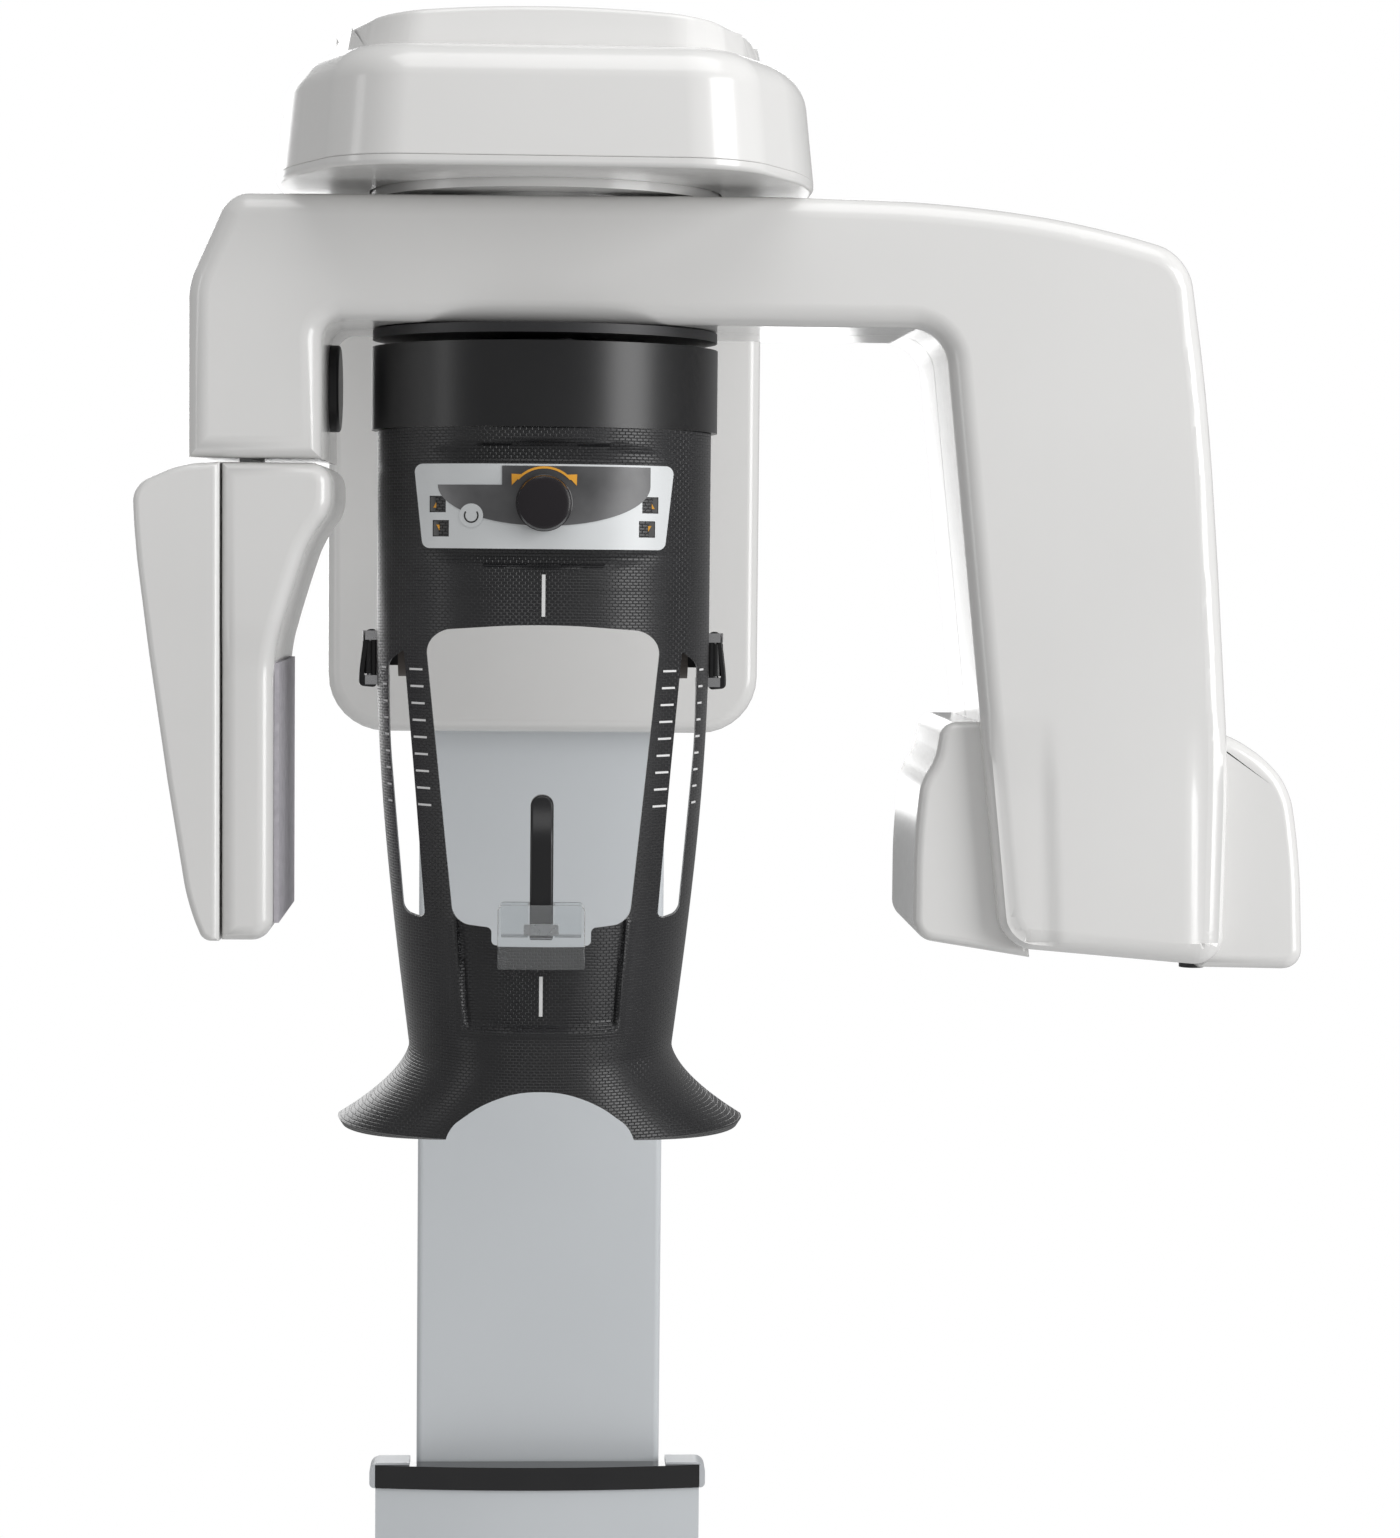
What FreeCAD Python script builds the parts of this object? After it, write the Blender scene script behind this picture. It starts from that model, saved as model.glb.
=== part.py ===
import FreeCAD, Part
import math
import os
import re
import Sketcher
from FreeCAD import Placement, Rotation, Vector

# Panoramic dental x-ray machine, millimetres, +Z up.  The origin is on the floor, straight below the
# axis about which the arm turns.  The operator stands on the -Y side and the column is on the +Y side.

SIZES = [
    # floor plate and fixed mast
    ("base_half_width", 330.0), ("base_front", 90.0), ("base_back", 736.0), ("base_thick", 12.0),
    ("base_corner", 60.0), ("anchor_radius", 7.0), ("anchor_inset", 60.0),
    ("foot_thick", 12.0), ("foot_margin", 22.0), ("bolt_radius", 5.0), ("bolt_head", 9.0),
    ("mast_room", 31.2), ("mast_wall", 5.0), ("mast_gap", 9.0), ("mast_top", 1042.0),
    ("cover_thick", 9.0), ("cover_lap", 1.5), ("cover_top", 1065.0), ("cover_bow", 9.0),
    ("band_height", 19.0), ("band_proud", 3.0), ("cap_rise", 2.0), ("cap_reach", 4.8),
    ("cap_depth", 22.0), ("wall_bolt_half", 100.0), ("bracket_height", 120.0), ("bracket_depth", 24.0), ("bracket_bottom", 880.0),
    ("inlet_height", 90.0), ("inlet_half_width", 34.0), ("inlet_depth", 16.0), ("switch_half_width", 9.0),
    ("rocker_pin_radius", 2.0), ("rocker_pin_reach", 2.0),
    # lifting column
    ("column_front", 578.0), ("column_half_width", 100.0), ("column_depth", 120.0), ("column_wall", 4.0),
    ("column_corner", 5.0), ("column_bottom", 640.0), ("column_top", 2066.0),
    ("rail_thick", 6.0), ("rail_half_width", 10.0), ("pad_gap", 0.4), ("pad_height", 60.0),
    ("tube_radius", 25.0), ("tube_top", 900.0), ("rod_radius", 14.0), ("rod_bottom", 612.0),
    ("rod_top", 1500.0), ("rod_play", 1.0), ("crosshead_height", 20.0),
    # head above and in front of the column
    ("head_half_width", 173.0), ("panel_front", 545.0), ("panel_bottom", 1686.0), ("panel_corner", 46.0),
    ("panel_split", 640.0), ("head_back", 724.0), ("skin", 4.0), ("tray_bottom", 2060.0),
    ("tray_height", 6.0), ("dome_front", 176.0), ("dome_half_width", 170.0), ("dome_top", 2135.0),
    ("dome_draft", 7.0), ("dome_facet", 118.0), ("facet_depth", 105.0), ("cap_half_width", 136.0),
    ("cap_top", 2160.0), ("cap_draft", 5.0), ("plate_thick", 8.0), ("plate_half_width", 138.0),
    ("plate_front", 116.0),
    ("beam_half_width", 60.0), ("beam_height", 48.0), ("beam_front", 330.0), ("beam_wall", 5.0),
    ("bridge_rise", 26.0), ("bridge_thick", 9.0), ("bridge_half_width", 138.0), ("bridge_leg", 24.0),
    # turntable and its belt drive
    ("ring_radius", 112.0), ("ring_bottom", 2054.5), ("ring_height", 9.0), ("neck_room", 17.0),
    ("neck_wall", 9.0), ("neck_bottom", 2030.0), ("flange_room", 2.0), ("flange_thick", 5.0),
    ("bearing_radius", 92.0), ("pulley_radius", 86.0), ("pulley_height", 12.0), ("running_gap", 0.6),
    ("motor_distance", 250.0), ("drive_radius", 20.0), ("belt_thick", 3.0), ("motor_radius", 30.0),
    ("motor_height", 42.0), ("spindle_radius", 5.0),
    # hanging post, collar and patient frame
    ("post_radius", 30.0), ("post_wall", 4.0), ("collar_radius", 111.5), ("collar_bottom", 1908.0),
    ("collar_top", 1961.0), ("collar_wall", 4.0), ("frame_radius", 107.5), ("frame_depth", 110.0),
    ("frame_wall", 5.0), ("collar_lip", 0.3), ("neck_ring", 106.8), ("frame_bottom", 1464.0),
    ("frame_back", 6.0),
    ("waist_height", 1780.0), ("chin_height", 1512.0), ("chin_half_width", 85.5),
    ("wing_half_width", 132.0), ("hanger_thick", 6.0),
    ("window_top", 1785.0), ("window_bottom", 1596.0), ("window_top_half", 73.0),
    ("window_bottom_half", 55.0),
    ("notch_half", 31.0), ("notch_bottom", 1586.0), ("arch_half", 62.0), ("arch_top", 1496.0),
    ("plate_top", 1885.0), ("plate_bottom", 1832.7), ("plate_top_half", 81.3), ("plate_bottom_half", 75.5),
    ("label_thick", 1.2), ("knob_height", 1861.0), ("knob_radius", 17.5), ("knob_length", 13.0),
    ("knob_front", 127.0), ("shaft_radius", 4.0), ("key_half", 4.6), ("key_travel", 0.8), ("key_gap", 0.5),
    ("holder_half", 27.0), ("holder_bottom", 1573.0), ("holder_top", 1613.0), ("holder_front", 122.0),
    ("holder_depth", 24.0), ("stick_half", 7.2), ("stick_top", 1683.0), ("stick_gap", 0.5),
    # temple supports
    ("pin_radius", 2.2), ("pin_reach", 112.5), ("pin_back", 12.0), ("loop_top", 1780.0),
    ("loop_bottom", 1743.0), ("temple_reach", 34.0),
    ("temple_pad_radius", 13.0), ("temple_pad_thick", 6.0), ("temple_pad_in", 95.0),
    # arm
    ("arm_half_depth", 92.0), ("arm_top", 2051.0), ("arm_underside", 1973.0), ("arm_left", 221.0),
    ("arm_right", 404.0), ("leg_room", 27.0), ("sensor_leg_bottom", 1887.5), ("shell_wall", 4.0),
    ("frame_plate", 8.0), ("hanger_place", 192.0), ("slide_rail", 8.0), ("shift_out", 15.0),
    ("disc_bottom", 1966.0),
    ("disc_thick", 6.0), ("side_disc_radius", 28.0), ("side_disc_thick", 6.5), ("side_disc_height", 1935.0),
    # sensor head
    ("sensor_gap", 1.5), ("sensor_half_depth", 88.0), ("sensor_bottom", 1586.0), ("sensor_seam", 201.0),
    ("sensor_seam_gap", 0.8), ("window_plate_in", 168.6), ("window_plate_thick", 3.0),
    ("window_plate_top", 1760.0), ("window_plate_foot", 1596.0), ("window_plate_half", 70.0),
    # tube head
    ("leg_top_in", 250.0), ("leg_foot_in", 291.0), ("leg_foot_out", 432.0), ("leg_foot", 1572.0),
    ("ear_in", 236.0), ("ear_out", 487.0), ("ear_depth", 72.0), ("ear_join", 0.4),
    ("tank_half_width", 55.0), ("tank_half_depth", 62.0), ("tank_height", 130.0), ("tank_wall", 4.0),
    ("tank_centre", 358.0), ("tank_middle", 1668.0), ("glass_radius", 22.0), ("beam_line", 1678.0),
    ("foot_radius", 8.0), ("foot_drop", 5.0),
]

doc = FreeCAD.newDocument("panoramic_xray_machine")
sheet = doc.addObject("Spreadsheet::Sheet", "Sizes")
for row, (alias, size) in enumerate(SIZES, start=1):
    sheet.set("A%d" % row, alias)
    sheet.set("B%d" % row, repr(size))
    sheet.setAlias("B%d" % row, alias)

# Sizes that follow another piece: the mast round the lifting column, the turntable inside the arm,
# and the sensor leg clear of the collar.
FITS = [
    ("mast_half_width", "column_half_width + mast_room"),
    ("flange_half", "arm_half_depth - shell_wall - flange_room"),
    ("neck_radius", "arm_half_depth - neck_room"),
    ("sensor_leg_in", "collar_radius + leg_room"),
]
for row, (alias, fit) in enumerate(FITS, len(SIZES) + 3):
    sheet.set("A%d" % row, alias)
    sheet.set("B%d" % row, "=" + fit)
    sheet.setAlias("B%d" % row, alias)
doc.recompute()

finished = []


# ---- helpers -------------------------------------------------------------------------------------

def linked(words):
    """Spell a sum of sheet names the way an expression needs it."""
    return re.sub(r"[a-z]\w*", lambda name: "Sizes." + name.group(0), str(words))


def size(words):
    """The value of a sum of sheet names, in millimetres."""
    answer = sheet.evalExpression(linked(words))
    return float(getattr(answer, "Value", answer))


def keep(thing, label):
    """Give a sub-part its name and note it for export."""
    thing.Label = label
    finished.append(thing)
    return thing


def origin_plane(body, role):
    return [plane for plane in body.Origin.OriginFeatures if plane.Role == role][0]


def sketch_on(body, role, name):
    sketch = body.newObject("Sketcher::SketchObject", name)
    sketch.AttachmentSupport = [(origin_plane(body, role), "")]
    sketch.MapMode = "FlatFace"
    return sketch


def pin_point(sketch, edge, corner, spot, name):
    """Tie one sketch point to two sums of sheet names."""
    for axis, kind, words in (("x", "DistanceX", spot[0]), ("y", "DistanceY", spot[1])):
        number = sketch.addConstraint(Sketcher.Constraint(kind, -1, 1, edge, corner, size(words)))
        sketch.renameConstraint(number, name + axis)
        sketch.setExpression("Constraints." + name + axis, linked(words))


def outline(sketch, spots):
    """A closed run of straight lines whose every corner is tied to the sheet."""
    ends = [Vector(size(across), size(up), 0) for across, up in spots]
    count = len(ends)
    first = sketch.GeometryCount
    for index in range(count):
        sketch.addGeometry(Part.LineSegment(ends[index], ends[(index + 1) % count]), False)
    for index in range(count):
        sketch.addConstraint(Sketcher.Constraint("Coincident", first + index, 2,
                                                 first + (index + 1) % count, 1))
    for index in range(count):
        pin_point(sketch, first + index, 1, spots[index], "corner%d" % (first + index))


def circles(sketch, centres, radius):
    for index, centre in enumerate(centres):
        middle = Vector(size(centre[0]), size(centre[1]), 0)
        edge = sketch.addGeometry(Part.Circle(middle, Vector(0, 0, 1), size(radius)), False)
        pin_point(sketch, edge, 3, centre, "centre%d" % index)
        number = sketch.addConstraint(Sketcher.Constraint("Radius", edge, size(radius)))
        sketch.renameConstraint(number, "radius%d" % index)
        sketch.setExpression("Constraints.radius%d" % index, linked(radius))


def rectangle(x, y):
    return [(x[0], y[0]), (x[1], y[0]), (x[1], y[1]), (x[0], y[1])]


def raised(name, spots, z, corner=None):
    """A body: an outline in plan, padded from one height to another, its upright corners rounded."""
    body = doc.addObject("PartDesign::Body", name)
    outline(sketch_on(body, "XY_Plane", name + "_plan"), spots)
    pad = body.newObject("PartDesign::Pad", name + "_pad")
    pad.Profile = doc.getObject(name + "_plan")
    pad.setExpression("Length", linked("(%s)-(%s)" % (z[1], z[0])))
    body.setExpression("Placement.Base.z", linked(z[0]))
    doc.recompute()
    if corner:
        edges = ["Edge%d" % (index + 1) for index, edge in enumerate(pad.Shape.Edges) if upright(edge)]
        fillet = body.newObject("PartDesign::Fillet", name + "_corners")
        fillet.Base = (pad, edges)
        fillet.setExpression("Radius", linked(corner))
        doc.recompute()
    return body


def upright(edge):
    box = edge.BoundBox
    return box.ZLength > 1 and box.XLength < 0.01 and box.YLength < 0.01


def pocket_through(body, name, draw, role="XY_Plane"):
    """Cut an opening right through a body; the volume shows that it cut."""
    before = body.Shape.Volume
    sketch = sketch_on(body, role, name + "_sketch")
    draw(sketch)
    pocket = body.newObject("PartDesign::Pocket", name)
    pocket.Profile = sketch
    pocket.Type = 1
    pocket.Midplane = True
    doc.recompute()
    if not body.Shape.Volume < before - 1:
        raise RuntimeError(name + " cuts nothing")


def turned(name, spots):
    """A body turned about the Z axis from a half section of (radius, height) corners."""
    body = doc.addObject("PartDesign::Body", name)
    sketch = sketch_on(body, "XZ_Plane", name + "_section")
    outline(sketch, spots)
    spin = body.newObject("PartDesign::Revolution", name + "_turning")
    spin.Profile = sketch
    spin.ReferenceAxis = (sketch, ["V_Axis"])
    spin.Angle = 360
    doc.recompute()
    return body


def box(name, x, y, z):
    """A plain block between pairs of heights and sides."""
    block = doc.addObject("Part::Box", name)
    for side, axis, span in (("Length", "x", x), ("Width", "y", y), ("Height", "z", z)):
        block.setExpression(side, linked("(%s)-(%s)" % (span[1], span[0])))
        block.setExpression("Placement.Base." + axis, linked(span[0]))
    return block


TURNS = {"Z": Rotation(), "X": Rotation(Vector(0, 1, 0), 90), "Y": Rotation(Vector(1, 0, 0), -90)}


def rod(name, radius, length, start, axis="Z"):
    """A plain round bar from a start point along an axis."""
    bar = doc.addObject("Part::Cylinder", name)
    bar.setExpression("Radius", linked(radius))
    bar.setExpression("Height", linked(length))
    bar.Placement = Placement(Vector(), TURNS[axis])
    for letter, words in zip("xyz", start):
        bar.setExpression("Placement.Base." + letter, linked(words))
    return bar


def cut(name, base, tool):
    piece = doc.addObject("Part::Cut", name)
    piece.Base = base
    piece.Tool = tool
    return piece


def fuse(name, pieces):
    whole = doc.addObject("Part::MultiFuse", name)
    whole.Shapes = pieces
    whole.Refine = True
    return whole


def group(name, pieces):
    """Separate equal solids that share one node."""
    together = doc.addObject("Part::Compound", name)
    together.Links = pieces
    return together


def rounded_wire(spots, depth):
    """A closed outline in the upright plane at one depth; each spot is (x, z, corner radius)."""
    points = [Vector(x, depth, z) for x, z, radius in spots]
    edges = []
    last_end = None
    first_start = None
    for index, (x, z, radius) in enumerate(spots):
        here = points[index]
        back = points[index - 1] - here
        ahead = points[(index + 1) % len(spots)] - here
        if radius > 0:
            half = back.getAngle(ahead) / 2
            reach = radius / math.tan(half)
            start = here + Vector(back).normalize() * reach
            end = here + Vector(ahead).normalize() * reach
            middle = Vector(back).normalize() + Vector(ahead).normalize()
            middle = here + middle.normalize() * (radius / math.sin(half) - radius)
            corner = Part.Arc(start, middle, end).toShape()
        else:
            start = end = here
            corner = None
        if last_end is not None and last_end.distanceToPoint(start) > 0.001:
            edges.append(Part.makeLine(last_end, start))
        if corner:
            edges.append(corner)
        last_end = end
        first_start = first_start or start
    if last_end.distanceToPoint(first_start) > 0.001:
        edges.append(Part.makeLine(last_end, first_start))
    return Part.Wire(edges)


def slab(spots, y_start, y_end, inset=0.0):
    """An upright outline extruded in depth, drawn in by an inset where one is given."""
    wire = rounded_wire(spots, y_start)
    if inset:
        wire = wire.makeOffset2D(-inset)
    return Part.Face(wire).extrude(Vector(0, y_end - y_start, 0))


def casing(spots, y_outer, y_open, wall):
    """A moulded half shell: closed at the outer face, open where it meets its other half."""
    step = math.copysign(wall, y_open - y_outer)
    past = math.copysign(1.0, y_open - y_outer)
    return slab(spots, y_outer, y_open).cut(slab(spots, y_outer + step, y_open + past, wall))


def feature(label, shape):
    piece = doc.addObject("Part::Feature", label)
    piece.Shape = shape
    return keep(piece, label)


def mirrored_spots(half):
    """Close an outline from its right half, listed downwards from the top middle."""
    return half + [(-x, z, radius) for x, z, radius in reversed(half) if x > 0]


# ---- floor plate and fixed mast --------------------------------------------------------------------

mast_front = "column_front-mast_gap"
mast_back = "column_front+column_depth+mast_gap+mast_wall"


def make_base_plate():
    """Steel floor plate that the patient stands on, with four holes for floor anchors."""
    body = raised("base_plate",
                  rectangle(("-base_half_width", "base_half_width"), ("-base_front", "base_back")),
                  ("0", "base_thick"), "base_corner")
    across = "base_half_width-anchor_inset"
    spots = [(sign + "(" + across + ")", along) for sign in ("", "-")
             for along in ("-base_front+anchor_inset", "base_back-anchor_inset")]
    pocket_through(body, "anchor_holes", lambda sketch: circles(sketch, spots, "anchor_radius"))
    keep(body, "base_plate")


def make_column_foot():
    """Welded flange that carries the mast, with its four bolts."""
    side = "mast_half_width+foot_margin"
    near = mast_front + "-foot_margin"
    far = mast_back + "+foot_margin"
    body = raised("column_foot", rectangle(("-(" + side + ")", side), (near, far)),
                  ("base_thick", "base_thick+foot_thick"), "foot_margin/2")
    keep(body, "column_foot")
    bolts = []
    for number, (sign, along) in enumerate([(sign, along) for sign in ("", "-")
                                            for along in (near + "+foot_margin/2",
                                                          far + "-foot_margin/2")]):
        start = (sign + "(mast_half_width+foot_margin/2)", along, "base_thick+foot_thick")
        bolts.append(rod("foot_bolt_%d" % number, "bolt_head", "bolt_radius+1", start))
    keep(group("foot_bolts", bolts), "foot_bolts")


def make_mast():
    """Extruded fixed mast: a rectangular tube, open on top for the lifting column."""
    body = raised("fixed_column",
                  rectangle(("-mast_half_width", "mast_half_width"), (mast_front, mast_back)),
                  ("base_thick+foot_thick", "mast_top"), "mast_wall")
    inside = rectangle(("-mast_half_width+mast_wall", "mast_half_width-mast_wall"),
                       (mast_front + "+mast_wall", mast_back + "-mast_wall"))
    pocket_through(body, "mast_bore", lambda sketch: outline(sketch, inside))
    keep(body, "fixed_column")


def bowed_front(half_width, front, bow, back, z_low, z_high):
    """A plate, flat behind, whose front face bows forwards in plan."""
    left, right = Vector(-half_width, front + bow, z_low), Vector(half_width, front + bow, z_low)
    edges = [Part.Arc(left, Vector(0, front, z_low), right).toShape(),
             Part.makeLine(right, Vector(half_width, back, z_low)),
             Part.makeLine(Vector(half_width, back, z_low), Vector(-half_width, back, z_low)),
             Part.makeLine(Vector(-half_width, back, z_low), left)]
    return Part.Face(Part.Wire(edges)).extrude(Vector(0, 0, z_high - z_low))


def make_mast_cover():
    """Painted front cover of the mast, the black band round its top and the two moulded end caps."""
    back = size(mast_front)
    front = back - size("cover_thick+cover_bow")
    half = size("mast_half_width+cover_lap")
    low, high = size("base_thick+foot_thick"), size("cover_top")
    feature("fixed_column_cover", bowed_front(half, front, size("cover_bow"), back - 0.2, low, high))
    band_top = high + size("band_height")
    proud = size("band_proud")
    band_back = back - 0.2
    band = bowed_front(half, front - proud, size("cover_bow"), band_back, high, band_top)
    feature("column_band", band)
    reach = half + size("cap_reach")
    caps = []
    for sign in (-1, 1):
        x_in, x_out = size("column_half_width") + 5.0, reach
        spots = [(sign * x_in, high + 0.0, 0), (sign * x_out, high, 4),
                 (sign * x_out, band_top + size("cap_rise"), 8),
                 (sign * x_in, band_top + size("cap_rise"), 0)]
        y_near = front + size("cover_bow")
        cap = slab(spots, y_near - proud, y_near + size("cap_depth"))
        cap = cap.cut(bowed_front(half + 0.2, front - proud - 0.2, size("cover_bow"), band_back + 0.2,
                                  high - 1, band_top + 0.2))
        cap = cap.cut(slab([(-size("mast_half_width") - 0.3, 900, 0),
                            (size("mast_half_width") + 0.3, 900, 0),
                            (size("mast_half_width") + 0.3, size("mast_top") + 0.3, 0),
                            (-size("mast_half_width") - 0.3, size("mast_top") + 0.3, 0)], back - 1,
                            back + 300))
        caps.append(cap)
    feature("column_end_caps", Part.makeCompound(caps))


def make_mast_fittings():
    """Wall bracket with its bolt holes, guide rails, and the mains inlet with its switch."""
    bracket = box("bracket_block", ("-mast_half_width", "mast_half_width"),
                  (mast_back, mast_back + "+bracket_depth"),
                  ("bracket_bottom", "bracket_bottom+bracket_height"))
    holes = []
    for number, (sign, up) in enumerate([(s, u) for s in ("", "-") for u in ("+25", "+bracket_height-25")]):
        start = (sign + "wall_bolt_half", mast_back + "-1", "bracket_bottom" + up)
        holes.append(rod("bracket_hole_%d" % number, "anchor_radius-1", "bracket_depth+2", start, "Y"))
    keep(cut("wall_bracket", bracket, fuse("bracket_holes", holes)), "wall_bracket")
    rails = []
    for sign in ("", "-"):
        inner, outer = "mast_half_width-mast_wall-rail_thick", "mast_half_width-mast_wall"
        span = (inner, outer) if sign == "" else ("-(%s)" % outer, "-(%s)" % inner)
        middle = "column_front+column_depth/2"
        rails.append(box("rail" + ("_right" if sign == "" else "_left"), span,
                         (middle + "-rail_half_width", middle + "+rail_half_width"),
                         ("base_thick+foot_thick+6", "mast_top-10")))
    keep(group("guide_rails", rails), "guide_rails")
    low = "base_thick+foot_thick+26"
    inlet = box("inlet_block", ("-inlet_half_width", "inlet_half_width"),
                (mast_back, mast_back + "+inlet_depth"),
                (low, low + "+inlet_height"))
    window = box("switch_window", ("-switch_half_width-key_gap", "switch_half_width+key_gap"),
                 (mast_back + "+3", mast_back + "+inlet_depth+1"), (low + "+52", low + "+80"))
    socket = box("inlet_socket", ("-12", "12"), (mast_back + "+2", mast_back + "+inlet_depth+1"),
                 (low + "+10", low + "+32"))
    pivot = (mast_back + "+13.5", low + "+66")
    seat = rod("rocker_seat", "rocker_pin_radius+0.2", "2*(switch_half_width+rocker_pin_reach+0.3)",
               ("-switch_half_width-rocker_pin_reach-0.3",) + pivot, "X")
    keep(cut("mains_inlet", inlet, fuse("inlet_openings", [window, socket, seat])), "mains_inlet")
    rocker = box("rocker_block", ("-switch_half_width", "switch_half_width"),
                 (mast_back + "+8", mast_back + "+inlet_depth+3"), (low + "+53.5", low + "+78.5"))
    pin = rod("rocker_pin", "rocker_pin_radius", "2*(switch_half_width+rocker_pin_reach)",
              ("-switch_half_width-rocker_pin_reach",) + pivot, "X")
    keep(fuse("rocker", [rocker, pin]), "power_switch")


def make_lift():
    """Electric spindle lift: outer tube on the foot, rod hung from the lifting column."""
    middle = "column_front+column_depth/2"
    floor = "base_thick+foot_thick"
    tube = rod("tube_solid", "tube_radius", "tube_top-(%s)" % floor, ("0", middle, floor))
    bore = rod("tube_bore", "rod_radius+rod_play", "tube_top", ("0", middle, floor + "+4"))
    keep(cut("lift_tube", tube, bore), "lift_tube")
    bar = rod("lift_bar", "rod_radius", "rod_top-rod_bottom", ("0", middle, "rod_bottom"))
    inner = "column_half_width-column_wall"
    crosshead = box("crosshead", ("-(%s)" % inner, inner),
                    ("column_front+column_wall", "column_front+column_depth-column_wall"),
                    ("rod_top", "rod_top+crosshead_height"))
    keep(fuse("lift_rod_whole", [bar, crosshead]), "lift_rod")


# ---- lifting column and head -------------------------------------------------------------------------

def make_column():
    """Painted aluminium lifting column with its plastic slide blocks."""
    plan = rectangle(("-column_half_width", "column_half_width"),
                     ("column_front", "column_front+column_depth"))
    body = raised("mobile_column", plan, ("column_bottom", "column_top"), "column_corner")
    wall = "column_wall"
    inside = rectangle(("-column_half_width+" + wall, "column_half_width-" + wall),
                       ("column_front+" + wall, "column_front+column_depth-" + wall))
    pocket_through(body, "column_bore", lambda sketch: outline(sketch, inside))
    keep(body, "mobile_column")
    pads = []
    rail_face = "mast_half_width-mast_wall-rail_thick-pad_gap"
    middle = "column_front+column_depth/2"
    for number, up in enumerate(("column_bottom+5", "column_bottom+160")):
        for sign in ("", "-"):
            span = ("column_half_width", rail_face) if sign == "" else ("-(%s)" % rail_face,
                                                                        "-column_half_width")
            pads.append(box("slide_pad_%d%s" % (number, "r" if sign == "" else "l"), span,
                            (middle + "-rail_half_width", middle + "+rail_half_width"),
                            (up, up + "+pad_height")))
    keep(group("slide_pads", pads), "slide_pads")


def head_outline(wide=0.0):
    half = size("head_half_width") - wide
    low, high = size("panel_bottom") + wide, size("tray_bottom") - 1.0
    corner = size("panel_corner") - wide
    return [(half, high, 0), (-half, high, 0), (-half, low, corner), (half, low, corner)]


def make_head_covers():
    """Front panel and rear cover that close round the top of the lifting column."""
    skin = size("skin")
    passage = slab([(-size("column_half_width") - 1, size("panel_bottom") - 5, 0),
                    (size("column_half_width") + 1, size("panel_bottom") - 5, 0),
                    (size("column_half_width") + 1, size("panel_bottom") + 60, 0),
                    (-size("column_half_width") - 1, size("panel_bottom") + 60, 0)],
                   size("column_front") - 1, size("column_front+column_depth") + 1)
    for label, outer, joint in (("head_front_panel", size("panel_front"), size("panel_split") - 0.2),
                                ("head_rear_cover", size("head_back"), size("panel_split") + 0.2)):
        shell = slab(head_outline(), min(outer, joint), max(outer, joint))
        step = math.copysign(skin, joint - outer)
        hollow = slab(head_outline(skin), *sorted((outer + step, joint + step)))
        roof = slab([(-size("head_half_width") + skin, 1990, 0), (size("head_half_width") - skin, 1990, 0),
                     (size("head_half_width") - skin, 2100, 0), (-size("head_half_width") + skin, 2100, 0)],
                    *sorted((outer + step, joint + step)))
        feature(label, shell.cut(hollow).cut(roof).cut(passage))


def dome_plan(inset, height, back):
    """Plan of the dome: flat front, slanted facets, straight sides running back to the column."""
    front = -size("dome_front") + inset
    half = size("dome_half_width") - inset
    facet = size("dome_facet") - inset * 0.4
    turn = front + size("facet_depth")
    spots = [(-facet, front), (facet, front), (half, turn), (half, back), (-half, back), (-half, turn)]
    return Part.makePolygon([Vector(x, y, height) for x, y in spots + spots[:1]])


def dome_body(inset_low, inset_high, low, high, back):
    lower = dome_plan(inset_low, low, back).makeOffset2D(0.001)
    upper = dome_plan(inset_high, high, back).makeOffset2D(0.001)
    return Part.makeLoft([lower, upper], True, True)


def make_dome():
    """Moulded head cover, its raised lid and the shallow tray that closes it from below."""
    back, skin = size("head_back"), size("skin")
    low, high, draft = size("tray_bottom+tray_height"), size("dome_top"), size("dome_draft")
    outer = dome_body(0, draft, low, high, back)
    hollow = dome_body(skin, draft + skin, low - 1, high - skin, back - skin)
    feature("dome_cover", outer.cut(hollow))
    inset = size("dome_half_width-cap_half_width")
    lid_back = back - inset
    lid = dome_body(inset, inset + size("cap_draft"), high, size("cap_top"), lid_back)
    lid_hollow = dome_body(inset + skin, inset + size("cap_draft") + skin, high - 1, size("cap_top") - skin,
                           lid_back - skin)
    feature("dome_lid", lid.cut(lid_hollow))
    tray = dome_body(0, 0, size("tray_bottom"), low - 0.2, back)
    hole = Part.makeCylinder(size("ring_radius") + 3, 40, Vector(0, 0, size("tray_bottom") - 10))
    well = Part.makeBox(size("head_half_width") * 2 - 8, 400, 40,
                        Vector(-size("head_half_width") + 4, size("panel_front") + 4,
                               size("tray_bottom") - 10))
    feature("dome_tray", tray.cut(hole).cut(well))


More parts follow.
